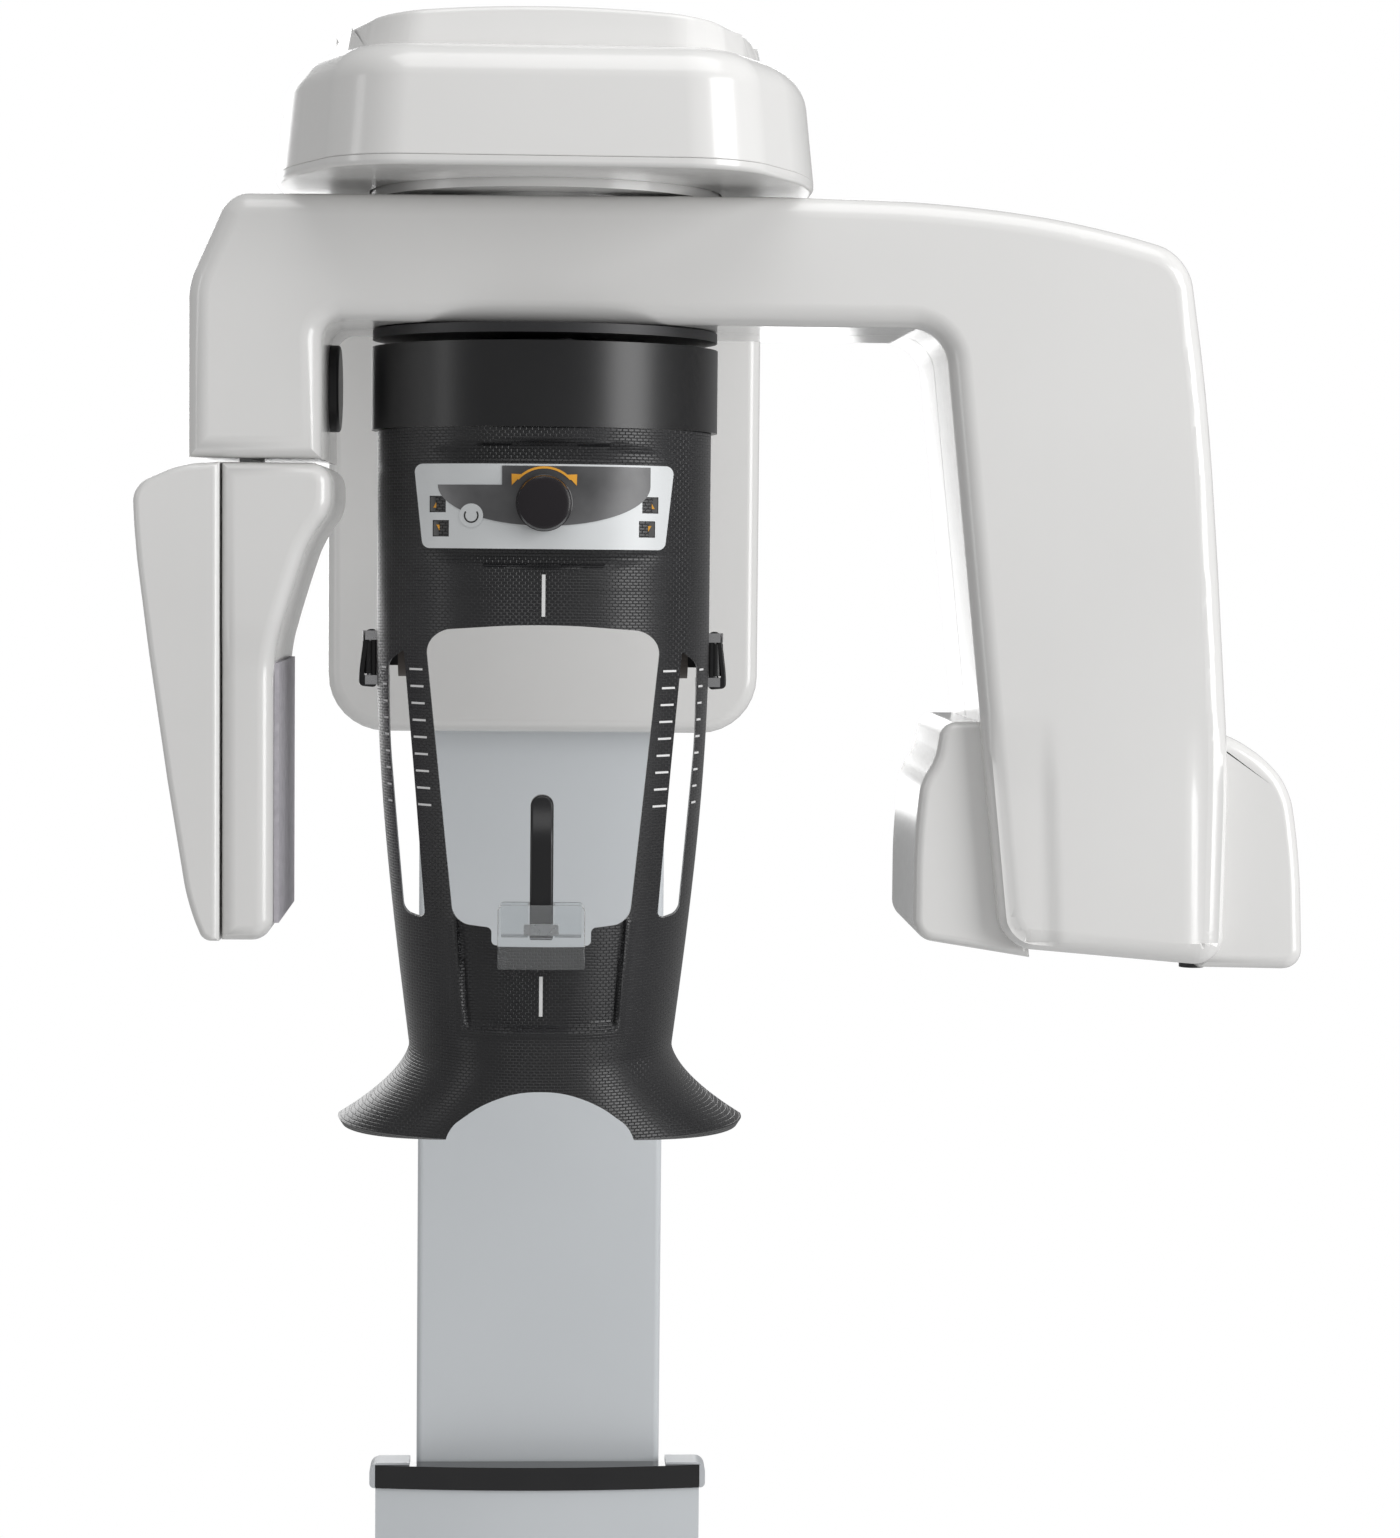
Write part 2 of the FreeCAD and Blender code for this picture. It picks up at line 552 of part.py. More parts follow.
def make_head_structure():
    """Steel head plate on the column, stiffening beam over it, and the bridge that holds the post."""
    top = "column_top"
    plan = rectangle(("-plate_half_width", "plate_half_width"),
                     ("-plate_front", "column_front+column_depth"))
    plate = raised("head_plate", plan, (top + "+1", top + "+1+plate_thick"), "20")
    pocket_through(plate, "bearing_seat", lambda sketch: circles(sketch, [("0", "0")], "bearing_radius"))
    pocket_through(plate, "motor_seat",
                   lambda sketch: circles(sketch, [("0", "motor_distance")], "spindle_radius+2"))
    deck = top + "+1+plate_thick"
    back = "column_front+column_depth"
    beam = box("beam_solid", ("-beam_half_width", "beam_half_width"), ("beam_front", back),
               (deck, deck + "+beam_height"))
    inner = "beam_half_width-beam_wall"
    bore = box("beam_bore", ("-(%s)" % inner, inner), ("beam_front-1", back + "+1"),
               (deck + "+beam_wall", deck + "+beam_height-beam_wall"))
    keep(fuse("head_plate_welded", [plate, cut("head_beam", beam, bore)]), "head_frame")
    deck_top = deck + "+bridge_rise"
    slab_part = box("bridge_slab", ("-bridge_half_width", "bridge_half_width"), ("-42", "42"),
                    (deck_top, deck_top + "+bridge_thick"))
    legs = [box("bridge_leg_right", ("bridge_half_width-bridge_leg", "bridge_half_width"), ("-42", "42"),
                (deck, deck_top)),
            box("bridge_leg_left", ("-bridge_half_width", "-bridge_half_width+bridge_leg"), ("-42", "42"),
                (deck, deck_top))]
    keep(fuse("post_bridge", [slab_part] + legs), "post_bridge")


def make_turntable():
    """Turntable: visible ring, hollow neck through the bearing, toothed wheel and lower flange."""
    ring_top = "ring_bottom+ring_height"
    wheel_low = "column_top+1+plate_thick+2"
    wheel_high = wheel_low + "+pulley_height"
    bore = "neck_radius-neck_wall"
    seat = "bearing_radius-running_gap-14"
    spots = [(bore, "neck_bottom"), ("flange_half", "neck_bottom"),
             ("flange_half", "neck_bottom+flange_thick"),
             ("neck_radius", "neck_bottom+flange_thick"), ("neck_radius", "ring_bottom"),
             ("ring_radius", "ring_bottom"), ("ring_radius", ring_top), (seat, ring_top), (seat, wheel_low),
             ("pulley_radius", wheel_low), ("pulley_radius", wheel_high), (bore, wheel_high)]
    keep(turned("turntable", spots), "turntable")
    race = [(seat + "+running_gap", "column_top+0.5"), ("bearing_radius-0.1", "column_top+0.5"),
            ("bearing_radius-0.1", "column_top+plate_thick+1"),
            (seat + "+running_gap", "column_top+plate_thick+1")]
    keep(turned("turntable_bearing", race), "turntable_bearing")
    rails = []
    for sign in ("", "-"):
        span = ("50", "50+slide_rail*2") if sign == "" else ("-50-slide_rail*2", "-50")
        rails.append(box("shift_rail" + ("_rear" if sign == "" else "_front"),
                         ("-flange_half+20", "flange_half-20"),
                         span, ("neck_bottom-slide_rail", "neck_bottom")))
    keep(group("shift_rails", rails), "shift_rails")


def make_drive():
    """Motor under the dome with its pinion, and the toothed belt round both wheels."""
    deck = size("column_top+1+plate_thick")
    low = deck + 2
    high = low + size("pulley_height")
    along = size("motor_distance")
    pinion = Part.makeCylinder(size("drive_radius"), high - low, Vector(0, along, low))
    spindle = Part.makeCylinder(size("spindle_radius"), low - deck + 10, Vector(0, along, deck - 8))
    feature("drive_pinion", pinion.fuse(spindle).removeSplitter())
    gap = size("running_gap")
    track = belt_ring(size("pulley_radius") + gap, size("drive_radius") + gap, along, low + 1, high - 1)
    outside = belt_ring(size("pulley_radius") + gap + size("belt_thick"),
                        size("drive_radius") + gap + size("belt_thick"), along, low + 1, high - 1)
    feature("drive_belt", outside.cut(track))
    motor = Part.makeCylinder(size("motor_radius"), size("motor_height") - 8, Vector(0, along, high + 3))
    feature("drive_motor", motor)


def belt_ring(big, small, along, low, high):
    """The stadium that a belt runs round: two circles joined by their outer tangents."""
    lean = math.asin((big - small) / along)
    side = Vector(math.cos(lean), math.sin(lean), 0)
    spots = [side * big, side * small + Vector(0, along, 0)]
    left = [Vector(-spot.x, spot.y, 0) for spot in spots]
    wire = Part.Wire([Part.makeLine(spots[0], spots[1]),
                      Part.Arc(spots[1], Vector(0, along + small, 0), left[1]).toShape(),
                      Part.makeLine(left[1], left[0]),
                      Part.Arc(left[0], Vector(0, -big, 0), spots[0]).toShape()])
    face = Part.Face(wire)
    face.translate(Vector(0, 0, low))
    return face.extrude(Vector(0, 0, high - low))


# ---- post, collar, patient frame ---------------------------------------------------------------------

def make_post():
    """Hollow post hung from the bridge through the turntable, and the black collar at its foot."""
    top = "column_top+1+plate_thick+bridge_rise"
    bore = "post_radius-post_wall"
    inside = "collar_radius-collar_wall"
    roof = "collar_top-collar_wall"
    flange = "frame_radius-frame_wall-1"
    keep(turned("frame_post",
                [(bore, roof + "-hanger_thick"), (flange, roof + "-hanger_thick"), (flange, roof),
                               ("post_radius", roof), ("post_radius", top), (bore, top)]), "frame_post")
    keep(turned("frame_collar", [("post_radius+0.2", roof), (inside, roof), (inside, "collar_bottom"),
                                 ("collar_radius", "collar_bottom"), ("collar_radius", "collar_top"),
                                 ("post_radius+0.2", "collar_top")]), "frame_collar")


OVAL_POWER = 2.2


def half_oval(half_width, depth, height, shrink):
    """Half of a flattened oval in plan, bulging towards the operator, as one smooth edge."""
    power = 2.0 / OVAL_POWER
    spots = []
    for step in range(17):
        angle = math.pi * step / 16
        across = math.copysign(abs(math.cos(angle)) ** power, math.cos(angle))
        spots.append(Vector((half_width - shrink) * across,
                            -(depth - shrink) * math.sin(angle) ** power, height))
    curve = Part.BSplineCurve()
    curve.interpolate(spots)
    back = size("frame_back")
    left, right = Vector(spots[-1].x, back, height), Vector(spots[0].x, back, height)
    return Part.Wire([curve.toShape(), Part.makeLine(spots[-1], left), Part.makeLine(left, right),
                      Part.makeLine(right, spots[0])])


def frame_sections():
    """Half width and depth of the patient frame at the heights where its side line turns."""
    upper = size("frame_radius")
    depth = size("frame_depth")
    top, waist, chin, low = (size(name) for name in ("collar_bottom-collar_lip", "waist_height",
                                                     "chin_height",
                                                     "frame_bottom"))
    chin_half = size("chin_half_width")
    return [(low, size("wing_half_width"), depth + 4), (low + 14, size("wing_half_width") - 10, depth + 2),
            (low + 36, chin_half + 8, depth), (chin, chin_half, depth - 1),
            ((waist + chin) / 2, (upper + chin_half) / 2 + 5, depth), (waist, upper, depth),
            (top, upper, depth)]


def frame_solid(shrink):
    wires = [half_oval(half, depth, height, shrink) for height, half, depth in frame_sections()]
    return Part.makeLoft(wires, True, True)


def frame_windows():
    """Face window with its notch, four side slots in two pairs, and the neck arch."""
    deep, back = -size("wing_half_width") - 20, size("frame_back") + 10
    top, low = size("window_top"), size("window_bottom")
    wide, narrow = size("window_top_half"), size("window_bottom_half")
    face = mirrored_spots([(0, top, 0), (wide - 6, top - 5, 14), (wide, top - 14, 6),
                           (narrow, low + 4, 14)])
    notch = size("notch_half")
    cuts = [slab(face, deep, back)]
    cuts.append(slab([(-notch, low + 8, 0), (notch, low + 8, 0), (notch, size("notch_bottom"), 3),
                      (-notch, size("notch_bottom"), 3)], deep, back))
    for sign in (-1, 1):
        slot = [(sign * (wide + 14.5), top - 16, 2), (sign * (wide + 25), top - 24, 3),
                (sign * (narrow + 34), low + 8, 5),
                (sign * (narrow + 18), low + 2, 5)]
        cuts.append(slab(slot, deep, back))
    half, arch = size("arch_half"), size("arch_top")
    cuts.append(slab(mirrored_spots([(0, arch, 0), (half * 0.5, arch - 5, 30),
                                     (half, size("frame_bottom") + 4, 10),
                                     (half + 8, size("frame_bottom") - 30, 0)]), deep, back))
    return cuts


def make_patient_frame():
    """Black moulded frame round the patient's face, open behind."""
    shell = frame_solid(0).cut(frame_solid(size("frame_wall")))
    foot = size("collar_bottom") - 12
    ring = Part.makeCylinder(size("neck_ring"), size("collar_top-collar_wall-hanger_thick") - foot,
                             Vector(0, 0, foot))
    ring = ring.cut(Part.makeCylinder(size("neck_ring") - 4, 200, Vector(0, 0, foot - 10)))
    shell = shell.fuse(ring.cut(Part.makeBox(400, 200, 200, Vector(-200, size("frame_back"), foot - 10))))
    for window in frame_windows():
        shell = shell.cut(window)
    for number, (x, z) in enumerate(key_places()):
        play = size("key_half+key_gap")
        shell = shell.cut(Part.makeBox(play * 2, 80, play * 2, Vector(x - play, -130, z - play)))
    bore = Part.makeCylinder(size("shaft_radius+0.5"), 60, Vector(0, -140, size("knob_height")),
                             Vector(0, 1, 0))
    feature("patient_frame", shell.cut(bore))


def key_places():
    """Middle of each arrow key on the control label."""
    return [(-66.0, 1860.0), (-64.0, 1845.0), (66.0, 1860.5), (64.0, 1845.5)]


def label_depth(x, z):
    """How far forward the frame's outer face stands at one place on the control label."""
    half, depth = size("frame_radius"), size("frame_depth")
    return depth * (1 - (abs(x) / half) ** OVAL_POWER) ** (1 / OVAL_POWER)


def make_controls():
    """Curved control label, temple knob on its shaft and four spring-loaded arrow keys."""
    thick = size("label_thick")
    skin = frame_solid(-thick).cut(frame_solid(-0.05))
    top, low = size("plate_top"), size("plate_bottom")
    area = slab([(-size("plate_top_half"), top, 5), (size("plate_top_half"), top, 5),
                 (size("plate_bottom_half"), low, 5), (-size("plate_bottom_half"), low, 5)],
                -150, -20)
    label = skin.common(area)
    bore = Part.makeCylinder(size("shaft_radius+0.5"), 60, Vector(0, -140, size("knob_height")),
                             Vector(0, 1, 0))
    label = label.cut(bore)
    for x, z in key_places():
        play = size("key_half+key_gap")
        label = label.cut(Part.makeBox(play * 2, 80, play * 2, Vector(x - play, -130, z - play)))
    feature("control_label", label)
    front = size("knob_front")
    knob = Part.makeCylinder(size("knob_radius"), size("knob_length"),
                             Vector(0, -front, size("knob_height")),
                             Vector(0, 1, 0))
    knob = knob.makeFillet(1.5, [knob.Edges[0], knob.Edges[2]])
    shaft = Part.makeCylinder(size("shaft_radius"), front - 70, Vector(0, -front + 4, size("knob_height")),
                              Vector(0, 1, 0))
    feature("temple_knob", knob.fuse(shaft).removeSplitter())
    half = size("key_half")
    for (x, z), label_name in zip(key_places(),
                                  ("key_left_up", "key_left_down", "key_right_up", "key_right_down")):
        face = label_depth(abs(x) + half, z) + thick
        key = Part.makeBox(half * 2, 9, half * 2,
                           Vector(x - half, -face - size("key_travel") - 0.4, z - half))
        feature(label_name, key.makeFillet(0.8, [edge for edge in key.Edges if edge.BoundBox.YLength > 1]))


def make_bite_parts():
    """Clear holder clipped over the chin bar, and the bite stick that drops into it."""
    half, gap = size("holder_half"), size("stick_gap")
    front, depth = size("holder_front"), size("holder_depth")
    low, high = size("holder_bottom"), size("holder_top")
    wall = Part.makeBox(half * 2, 5, high - low, Vector(-half, -front, low))
    tongue = Part.makeBox(half * 2 - 4, depth - 5, 4,
                          Vector(-half + 2, -front + 5, size("notch_bottom") + 1.0))
    stick_half = size("stick_half")
    cheeks = [Part.makeBox(5, depth - 8, 22,
                           Vector(sign * (stick_half + gap) - (5 if sign < 0 else 0), -front + 5,
                                                    size("notch_bottom") + 5.0)) for sign in (-1, 1)]
    holder = wall.fuse([tongue] + cheeks).removeSplitter()
    feature("bite_holder", holder)
    shank = Part.makeBox(stick_half * 2, 6, size("stick_top") - size("notch_bottom") - 14,
                         Vector(-stick_half, -front + 7, size("notch_bottom") + 6.0))
    tip = Part.makeBox(stick_half * 2, 22, 5, Vector(-stick_half, -front + 7, size("stick_top") - 8))
    stick = shank.fuse(tip).removeSplitter()
    feature("bite_stick", stick)


def make_temple_supports():
    """Left and right temple arms on upright pins at the back edges of the frame."""
    pins = []
    for side, sign in (("left", -1), ("right", 1)):
        x_pin, y_pin = sign * size("pin_reach"), size("pin_back")
        low, high = size("loop_bottom"), size("loop_top")
        pin = Part.makeCylinder(size("pin_radius"), high - low - 4, Vector(x_pin, y_pin, low + 2))
        lugs = []
        for z in (low + 1, high - 7):
            ear = Part.makeBox(abs(x_pin) - size("frame_radius") + 11, 5, 6,
                               Vector(min(x_pin - 3, sign * (size("frame_radius") - 8)) if sign < 0
                                      else size("frame_radius") - 8, size("frame_back"), z))
            knuckle = Part.makeCylinder(5, 6, Vector(x_pin, y_pin, z))
            lugs.append(ear.fuse(knuckle))
        pins.append(pin.fuse(lugs).removeSplitter())
        bore = Part.makeCylinder(size("pin_radius") + 0.3, 60, Vector(x_pin, y_pin, low - 5))
        barrel = Part.makeCylinder(5, high - low - 16, Vector(x_pin, y_pin, low + 8))
        reach = Part.makeBox(5, size("temple_reach"), 12, Vector(x_pin - 2.5, y_pin, (low + high) / 2 - 6))
        elbow_x = sign * size("temple_pad_in")
        elbow = Part.makeBox(abs(x_pin - elbow_x) + 2.5, 5, 12,
                             Vector(min(x_pin + 2.5 * sign, elbow_x), y_pin + size("temple_reach") - 5,
                                    (low + high) / 2 - 6))
        arm = barrel.fuse([reach, elbow]).removeSplitter().cut(bore)
        feature("temple_arm_" + side, arm)
        radius, thick = size("temple_pad_radius"), size("temple_pad_thick")
        pad = Part.makeCylinder(radius, thick, Vector(elbow_x, y_pin + size("temple_reach") - radius + 2,
                                                      (low + high) / 2), Vector(-sign, 0, 0))
        pad = pad.cut(Part.makeBox(thick * 2 + 2, 20, 30,
                                   Vector(elbow_x - thick, y_pin + size("temple_reach") - 5.0,
                                                               (low + high) / 2 - 15)))
        feature("temple_pad_" + side, pad)
    feature("temple_pins", Part.makeCompound(pins))


# ---- arm ---------------------------------------------------------------------------------------------

def arm_outline():
    """Side line of the arm: sensor leg on the left, level beam, crowned shoulder, slanted tube leg."""
    top, under = size("arm_top"), size("arm_underside")
    left, right = -size("arm_left"), size("arm_right")
    leg_in, leg_low = -size("sensor_leg_in"), size("sensor_leg_bottom")
    tube_in, foot = size("leg_top_in"), size("leg_foot")
    return [(left, leg_low, 0), (left, top - 62, 12), (left + 24, top - 8, 24), (left + 60, top, 20),
            (160, top + 1, 60),
            (270, top - 2, 100), (370, top - 20, 60), (right - 4, top - 34, 22),
            (right + 16, top - 150, 200),
            (size("leg_foot_out"), foot, 8), (size("leg_foot_in"), foot + 12, 8), (tube_in, under, 26),
            (leg_in, under, 10), (leg_in, leg_low, 0)]


def make_arm_shells():
    """Two moulded halves of the arm, joined in the middle plane, with openings for neck and post."""
    depth, wall = size("arm_half_depth"), size("shell_wall")
    shift = size("shift_out")
    neck = slot_cutter(size("neck_radius") + 2, shift, size("arm_top") - 20, size("arm_top") + 12)
    post = slot_cutter(size("post_radius") + 3, shift, size("arm_underside") - 12,
                       size("arm_underside") + 16)
    for label, side in (("arm_front_shell", -1), ("arm_rear_shell", 1)):
        shell = casing(arm_outline(), side * depth, side * 0.15, wall)
        feature(label, shell.cut(neck).cut(post).cut(hanger_passage()))


def hanger_passage():
    """Slot through the foot of the sensor leg and the roof of the sensor head for the hanger plate."""
    x_plate = size("hanger_place")
    return Part.makeBox(size("frame_plate") + 4, 108, 40,
                        Vector(-x_plate - 2, -54, size("sensor_leg_bottom") - 20))


def slot_cutter(radius, shift, low, high):
    """A slot long enough for a round piece while the arm shifts outwards."""
    start = Part.makeCylinder(radius, high - low, Vector(0, 0, low))
    end = Part.makeCylinder(radius, high - low, Vector(shift + 1, 0, low))
    between = Part.makeBox(shift + 1, radius * 2, high - low, Vector(0, -radius, low))
    return start.fuse([end, between])


def make_arm_frame():
    """Aluminium backbone in the arm that slides on the turntable rails, with its two hanger plates."""
    thick = size("frame_plate")
    rail_low = size("neck_bottom-slide_rail")
    top = rail_low - 0.5
    backbone = Part.makeBox(543, 120, thick, Vector(-198, -60, top - thick))
    post = slot_cutter(size("post_radius") + 4, size("shift_out"), top - thick - 5, top + 5)
    hanger_foot = size("window_plate_top") + 40
    sensor_plate = Part.makeBox(thick, 100, top - thick - hanger_foot,
                                Vector(-size("hanger_place"), -50, hanger_foot))
    tube_plate = Part.makeBox(thick, 100, top - thick - 1740, Vector(335, -50, 1740))
    feature("arm_frame", backbone.cut(post).fuse([sensor_plate, tube_plate]).removeSplitter())
    disc_low = "disc_bottom"
    bore = "post_radius+shift_out+3"
    keep(turned("hub_disc",
                [(bore, disc_low), ("ring_radius-1", disc_low), ("ring_radius-1", disc_low + "+disc_thick"),
                             (bore, disc_low + "+disc_thick")]), "hub_disc")
    disc = Part.makeCylinder(size("side_disc_radius"), size("side_disc_thick"),
                             Vector(-size("sensor_leg_in"), 10, size("side_disc_height")), Vector(1, 0, 0))
    feature("laser_window", disc.makeFillet(2.0, [disc.Edges[0]]))


# ---- sensor head -------------------------------------------------------------------------------------

def sensor_outline(seam_side):
    """Side line of the sensor head, cut at its upright seam into an outer and an inner casing."""
    top = size("sensor_leg_bottom-sensor_gap") - 1.0
    low, seam = size("sensor_bottom"), -size("sensor_seam")
    gap = size("sensor_seam_gap") / 2
    if seam_side == "outer":
        return [(seam - gap, low, 0), (-211.5, low, 4), (-221.5, low + 26, 0), (-240.2, low + 140, 60),
                (-254.5, low + 250, 60),
                (-255.3, top - 14, 4), (-225.5, top - 2, 8), (seam - gap, top - 1, 0)]
    plate = -size("window_plate_in")
    return [(seam + gap, low, 0), (plate, low, 2), (plate, low + 178, 20), (-158, low + 216, 40),
            (-146, low + 252, 24),
            (-132.5, low + 268, 6), (-132.5, top, 8), (seam + gap, top - 1, 0)]


def make_sensor_head():
    """Outer and inner casings, and the flat x-ray sensor behind its window plate with its board."""
    depth, wall = size("sensor_half_depth"), size("shell_wall") - 1.0
    for label, side in (("sensor_outer_casing", "outer"), ("sensor_inner_casing", "inner")):
        spots = sensor_outline(side)
        whole = slab(spots, -depth, depth)
        hollow = slab(spots, -depth + wall, depth - wall, wall)
        feature(label, whole.cut(hollow).cut(hanger_passage()))
    inside = -size("window_plate_in")
    thick, half = size("window_plate_thick"), size("window_plate_half")
    foot, head = size("window_plate_foot"), size("window_plate_top")
    feature("sensor_window", Part.makeBox(thick, half * 2, head - foot, Vector(inside + 0.2, -half, foot)))
    feature("flat_sensor",
            Part.makeBox(12, half * 2 - 10, head - foot - 6, Vector(inside - 16, -half + 5, foot + 2)))
    feature("readout_board",
            Part.makeBox(2, half * 2 - 16, head - foot, Vector(inside - 24, -half + 8, foot + 6)))


# ---- tube head ---------------------------------------------------------------------------------------

def ear_outline(side):
    """Side line of one cheek of the tube head, which swells out beside the leg."""
    gap = size("ear_join")
    foot = size("leg_foot")
    if side == "inner":
        edge = size("ear_in")
        return [(edge + 18, foot + 154, 4), (edge + 14, foot + 126, 12), (edge + 4, foot + 116, 12),
                (edge, foot + 66, 100),
                (edge, foot + 15, 10), (size("leg_foot_in") - gap, foot + 4, 0),
                (leg_inner_x(foot + 154) - gap, foot + 154, 0)]
    edge = size("ear_out")
    return [(leg_outer_x(foot + 150) + gap, foot + 150, 0), (edge - 56, foot + 140, 14),
            (edge - 34, foot + 129, 20),
            (edge - 12, foot + 110, 20), (edge - 3, foot + 70, 40), (edge, foot - 3, 8),
            (size("leg_foot_out") + gap, foot - 2, 0)]


def leg_inner_x(height):
    """The tube leg's inner edge at one height."""
    low, high = size("leg_foot") + 12, size("arm_underside")
    share = (height - low) / (high - low)
    return size("leg_foot_in") + share * (size("leg_top_in") - size("leg_foot_in"))


def leg_outer_x(height):
    """The tube leg's outer edge at one height."""
    low, high = size("leg_foot"), size("arm_top") - 150
    share = (height - low) / (high - low)
    return size("leg_foot_out") + share * (size("arm_right") + 16 - size("leg_foot_out"))


def make_tube_head():
    """Cheek covers either side of the leg, shielded tank with the tube in it, aperture plate and feet."""
    depth, wall = size("ear_depth"), size("shell_wall") - 1.0
    for side in ("inner", "outer"):
        spots = ear_outline(side)
        feature("tube_head_cover_" + side, slab(spots, -depth, depth).cut(
            slab(spots, -depth + wall, depth - wall, wall)))
    half, deep, tall = size("tank_half_width"), size("tank_half_depth"), size("tank_height")
    middle, centre, lead = size("tank_middle"), size("tank_centre"), size("tank_wall")
    tank = Part.makeBox(half * 2, deep * 2, tall, Vector(centre - half, -deep, middle - tall / 2))
    room = Part.makeBox((half - lead) * 2, (deep - lead) * 2, tall - lead * 2,
                        Vector(centre - half + lead, -deep + lead, middle - tall / 2 + lead))
    port = Part.makeCylinder(10, 20, Vector(centre - half - 5, 0, size("beam_line")), Vector(1, 0, 0))
    feature("tube_tank", tank.cut(room).cut(port))
    radius = size("glass_radius")
    bulb = Part.makeCylinder(radius, 70, Vector(centre, -35, size("beam_line")), Vector(0, 1, 0))
    neck = Part.makeCylinder(radius * 0.5, 22, Vector(centre, 35, size("beam_line")), Vector(0, 1, 0))
    feature("xray_tube", bulb.fuse(neck).removeSplitter())
    x_plate = centre - half - 3.0
    plate = Part.makeBox(2.5, 90, 80, Vector(x_plate, -45, size("beam_line") - 40))
    slit = Part.makeBox(6, 8, 60, Vector(x_plate - 2, -4, size("beam_line") - 30))
    feature("aperture_plate", plate.cut(slit))
    feet = []
    for x in (304, 420):
        drop = size("foot_drop")
        surface = size("leg_foot") + (12 * (size("leg_foot_out") - x) / (size("leg_foot_out") - size("leg_foot_in")))
        feet.append(Part.makeCylinder(size("foot_radius"), drop, Vector(x, -40, surface - drop - 0.67)))
    feature("tube_head_feet", Part.makeCompound(feet))


# ---- build, check, export ----------------------------------------------------------------------------

def main():
    make_base_plate()
    make_column_foot()
    make_mast()
    make_mast_cover()
    make_mast_fittings()
    make_lift()
    make_column()
    make_head_covers()
    make_dome()
    make_head_structure()
    make_turntable()
    make_drive()
    make_post()
    make_patient_frame()
    make_controls()
    make_bite_parts()
    make_temple_supports()
    make_arm_shells()
    make_arm_frame()
    make_sensor_head()
    make_tube_head()
    doc.recompute()
    for thing in doc.Objects:
        if "Invalid" in thing.State or "Error" in thing.State:
            raise RuntimeError("failed object: " + thing.Label)
    for thing in finished:
        if thing.Shape.isNull() or not thing.Shape.isValid() or not thing.Shape.Solids:
            raise RuntimeError("bad shape: " + thing.Label)
    os.makedirs("parts", exist_ok=True)
    for thing in finished:
        thing.Shape.exportStep(os.path.join("parts", thing.Label + ".step"))
    print(len(finished), "sub-parts written")


main()
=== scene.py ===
import bmesh
import bpy
import math
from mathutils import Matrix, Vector


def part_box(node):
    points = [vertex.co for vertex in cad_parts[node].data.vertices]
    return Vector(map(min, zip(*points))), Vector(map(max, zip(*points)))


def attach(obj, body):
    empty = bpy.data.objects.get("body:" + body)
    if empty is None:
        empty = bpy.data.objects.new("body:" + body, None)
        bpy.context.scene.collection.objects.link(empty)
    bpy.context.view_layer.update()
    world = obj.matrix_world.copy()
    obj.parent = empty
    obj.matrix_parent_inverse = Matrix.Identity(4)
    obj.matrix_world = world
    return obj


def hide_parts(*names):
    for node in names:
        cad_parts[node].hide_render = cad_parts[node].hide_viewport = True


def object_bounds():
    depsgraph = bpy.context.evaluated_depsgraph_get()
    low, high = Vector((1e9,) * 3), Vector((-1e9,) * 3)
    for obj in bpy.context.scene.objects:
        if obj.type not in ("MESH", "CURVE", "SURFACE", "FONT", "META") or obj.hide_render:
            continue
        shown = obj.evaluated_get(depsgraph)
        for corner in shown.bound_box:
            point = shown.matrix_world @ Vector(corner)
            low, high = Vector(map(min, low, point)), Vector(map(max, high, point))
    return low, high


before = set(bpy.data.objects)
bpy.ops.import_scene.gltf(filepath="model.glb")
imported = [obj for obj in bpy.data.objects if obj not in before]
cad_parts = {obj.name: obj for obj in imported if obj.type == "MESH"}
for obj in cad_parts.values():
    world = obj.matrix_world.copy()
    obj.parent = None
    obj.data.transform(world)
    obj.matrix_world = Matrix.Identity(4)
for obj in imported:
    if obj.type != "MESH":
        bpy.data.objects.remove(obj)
cad_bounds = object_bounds()
MM = 0.001

# Floor plate, column foot and bolts.  The plate is cut from steel and powder coated dark grey;
# the foot is bolted to it and the floor with plated hexagon bolts.  Below them, the helper that
# mixes every finish: a slow drift of tone, a fine grain in the surface and an uneven gloss.


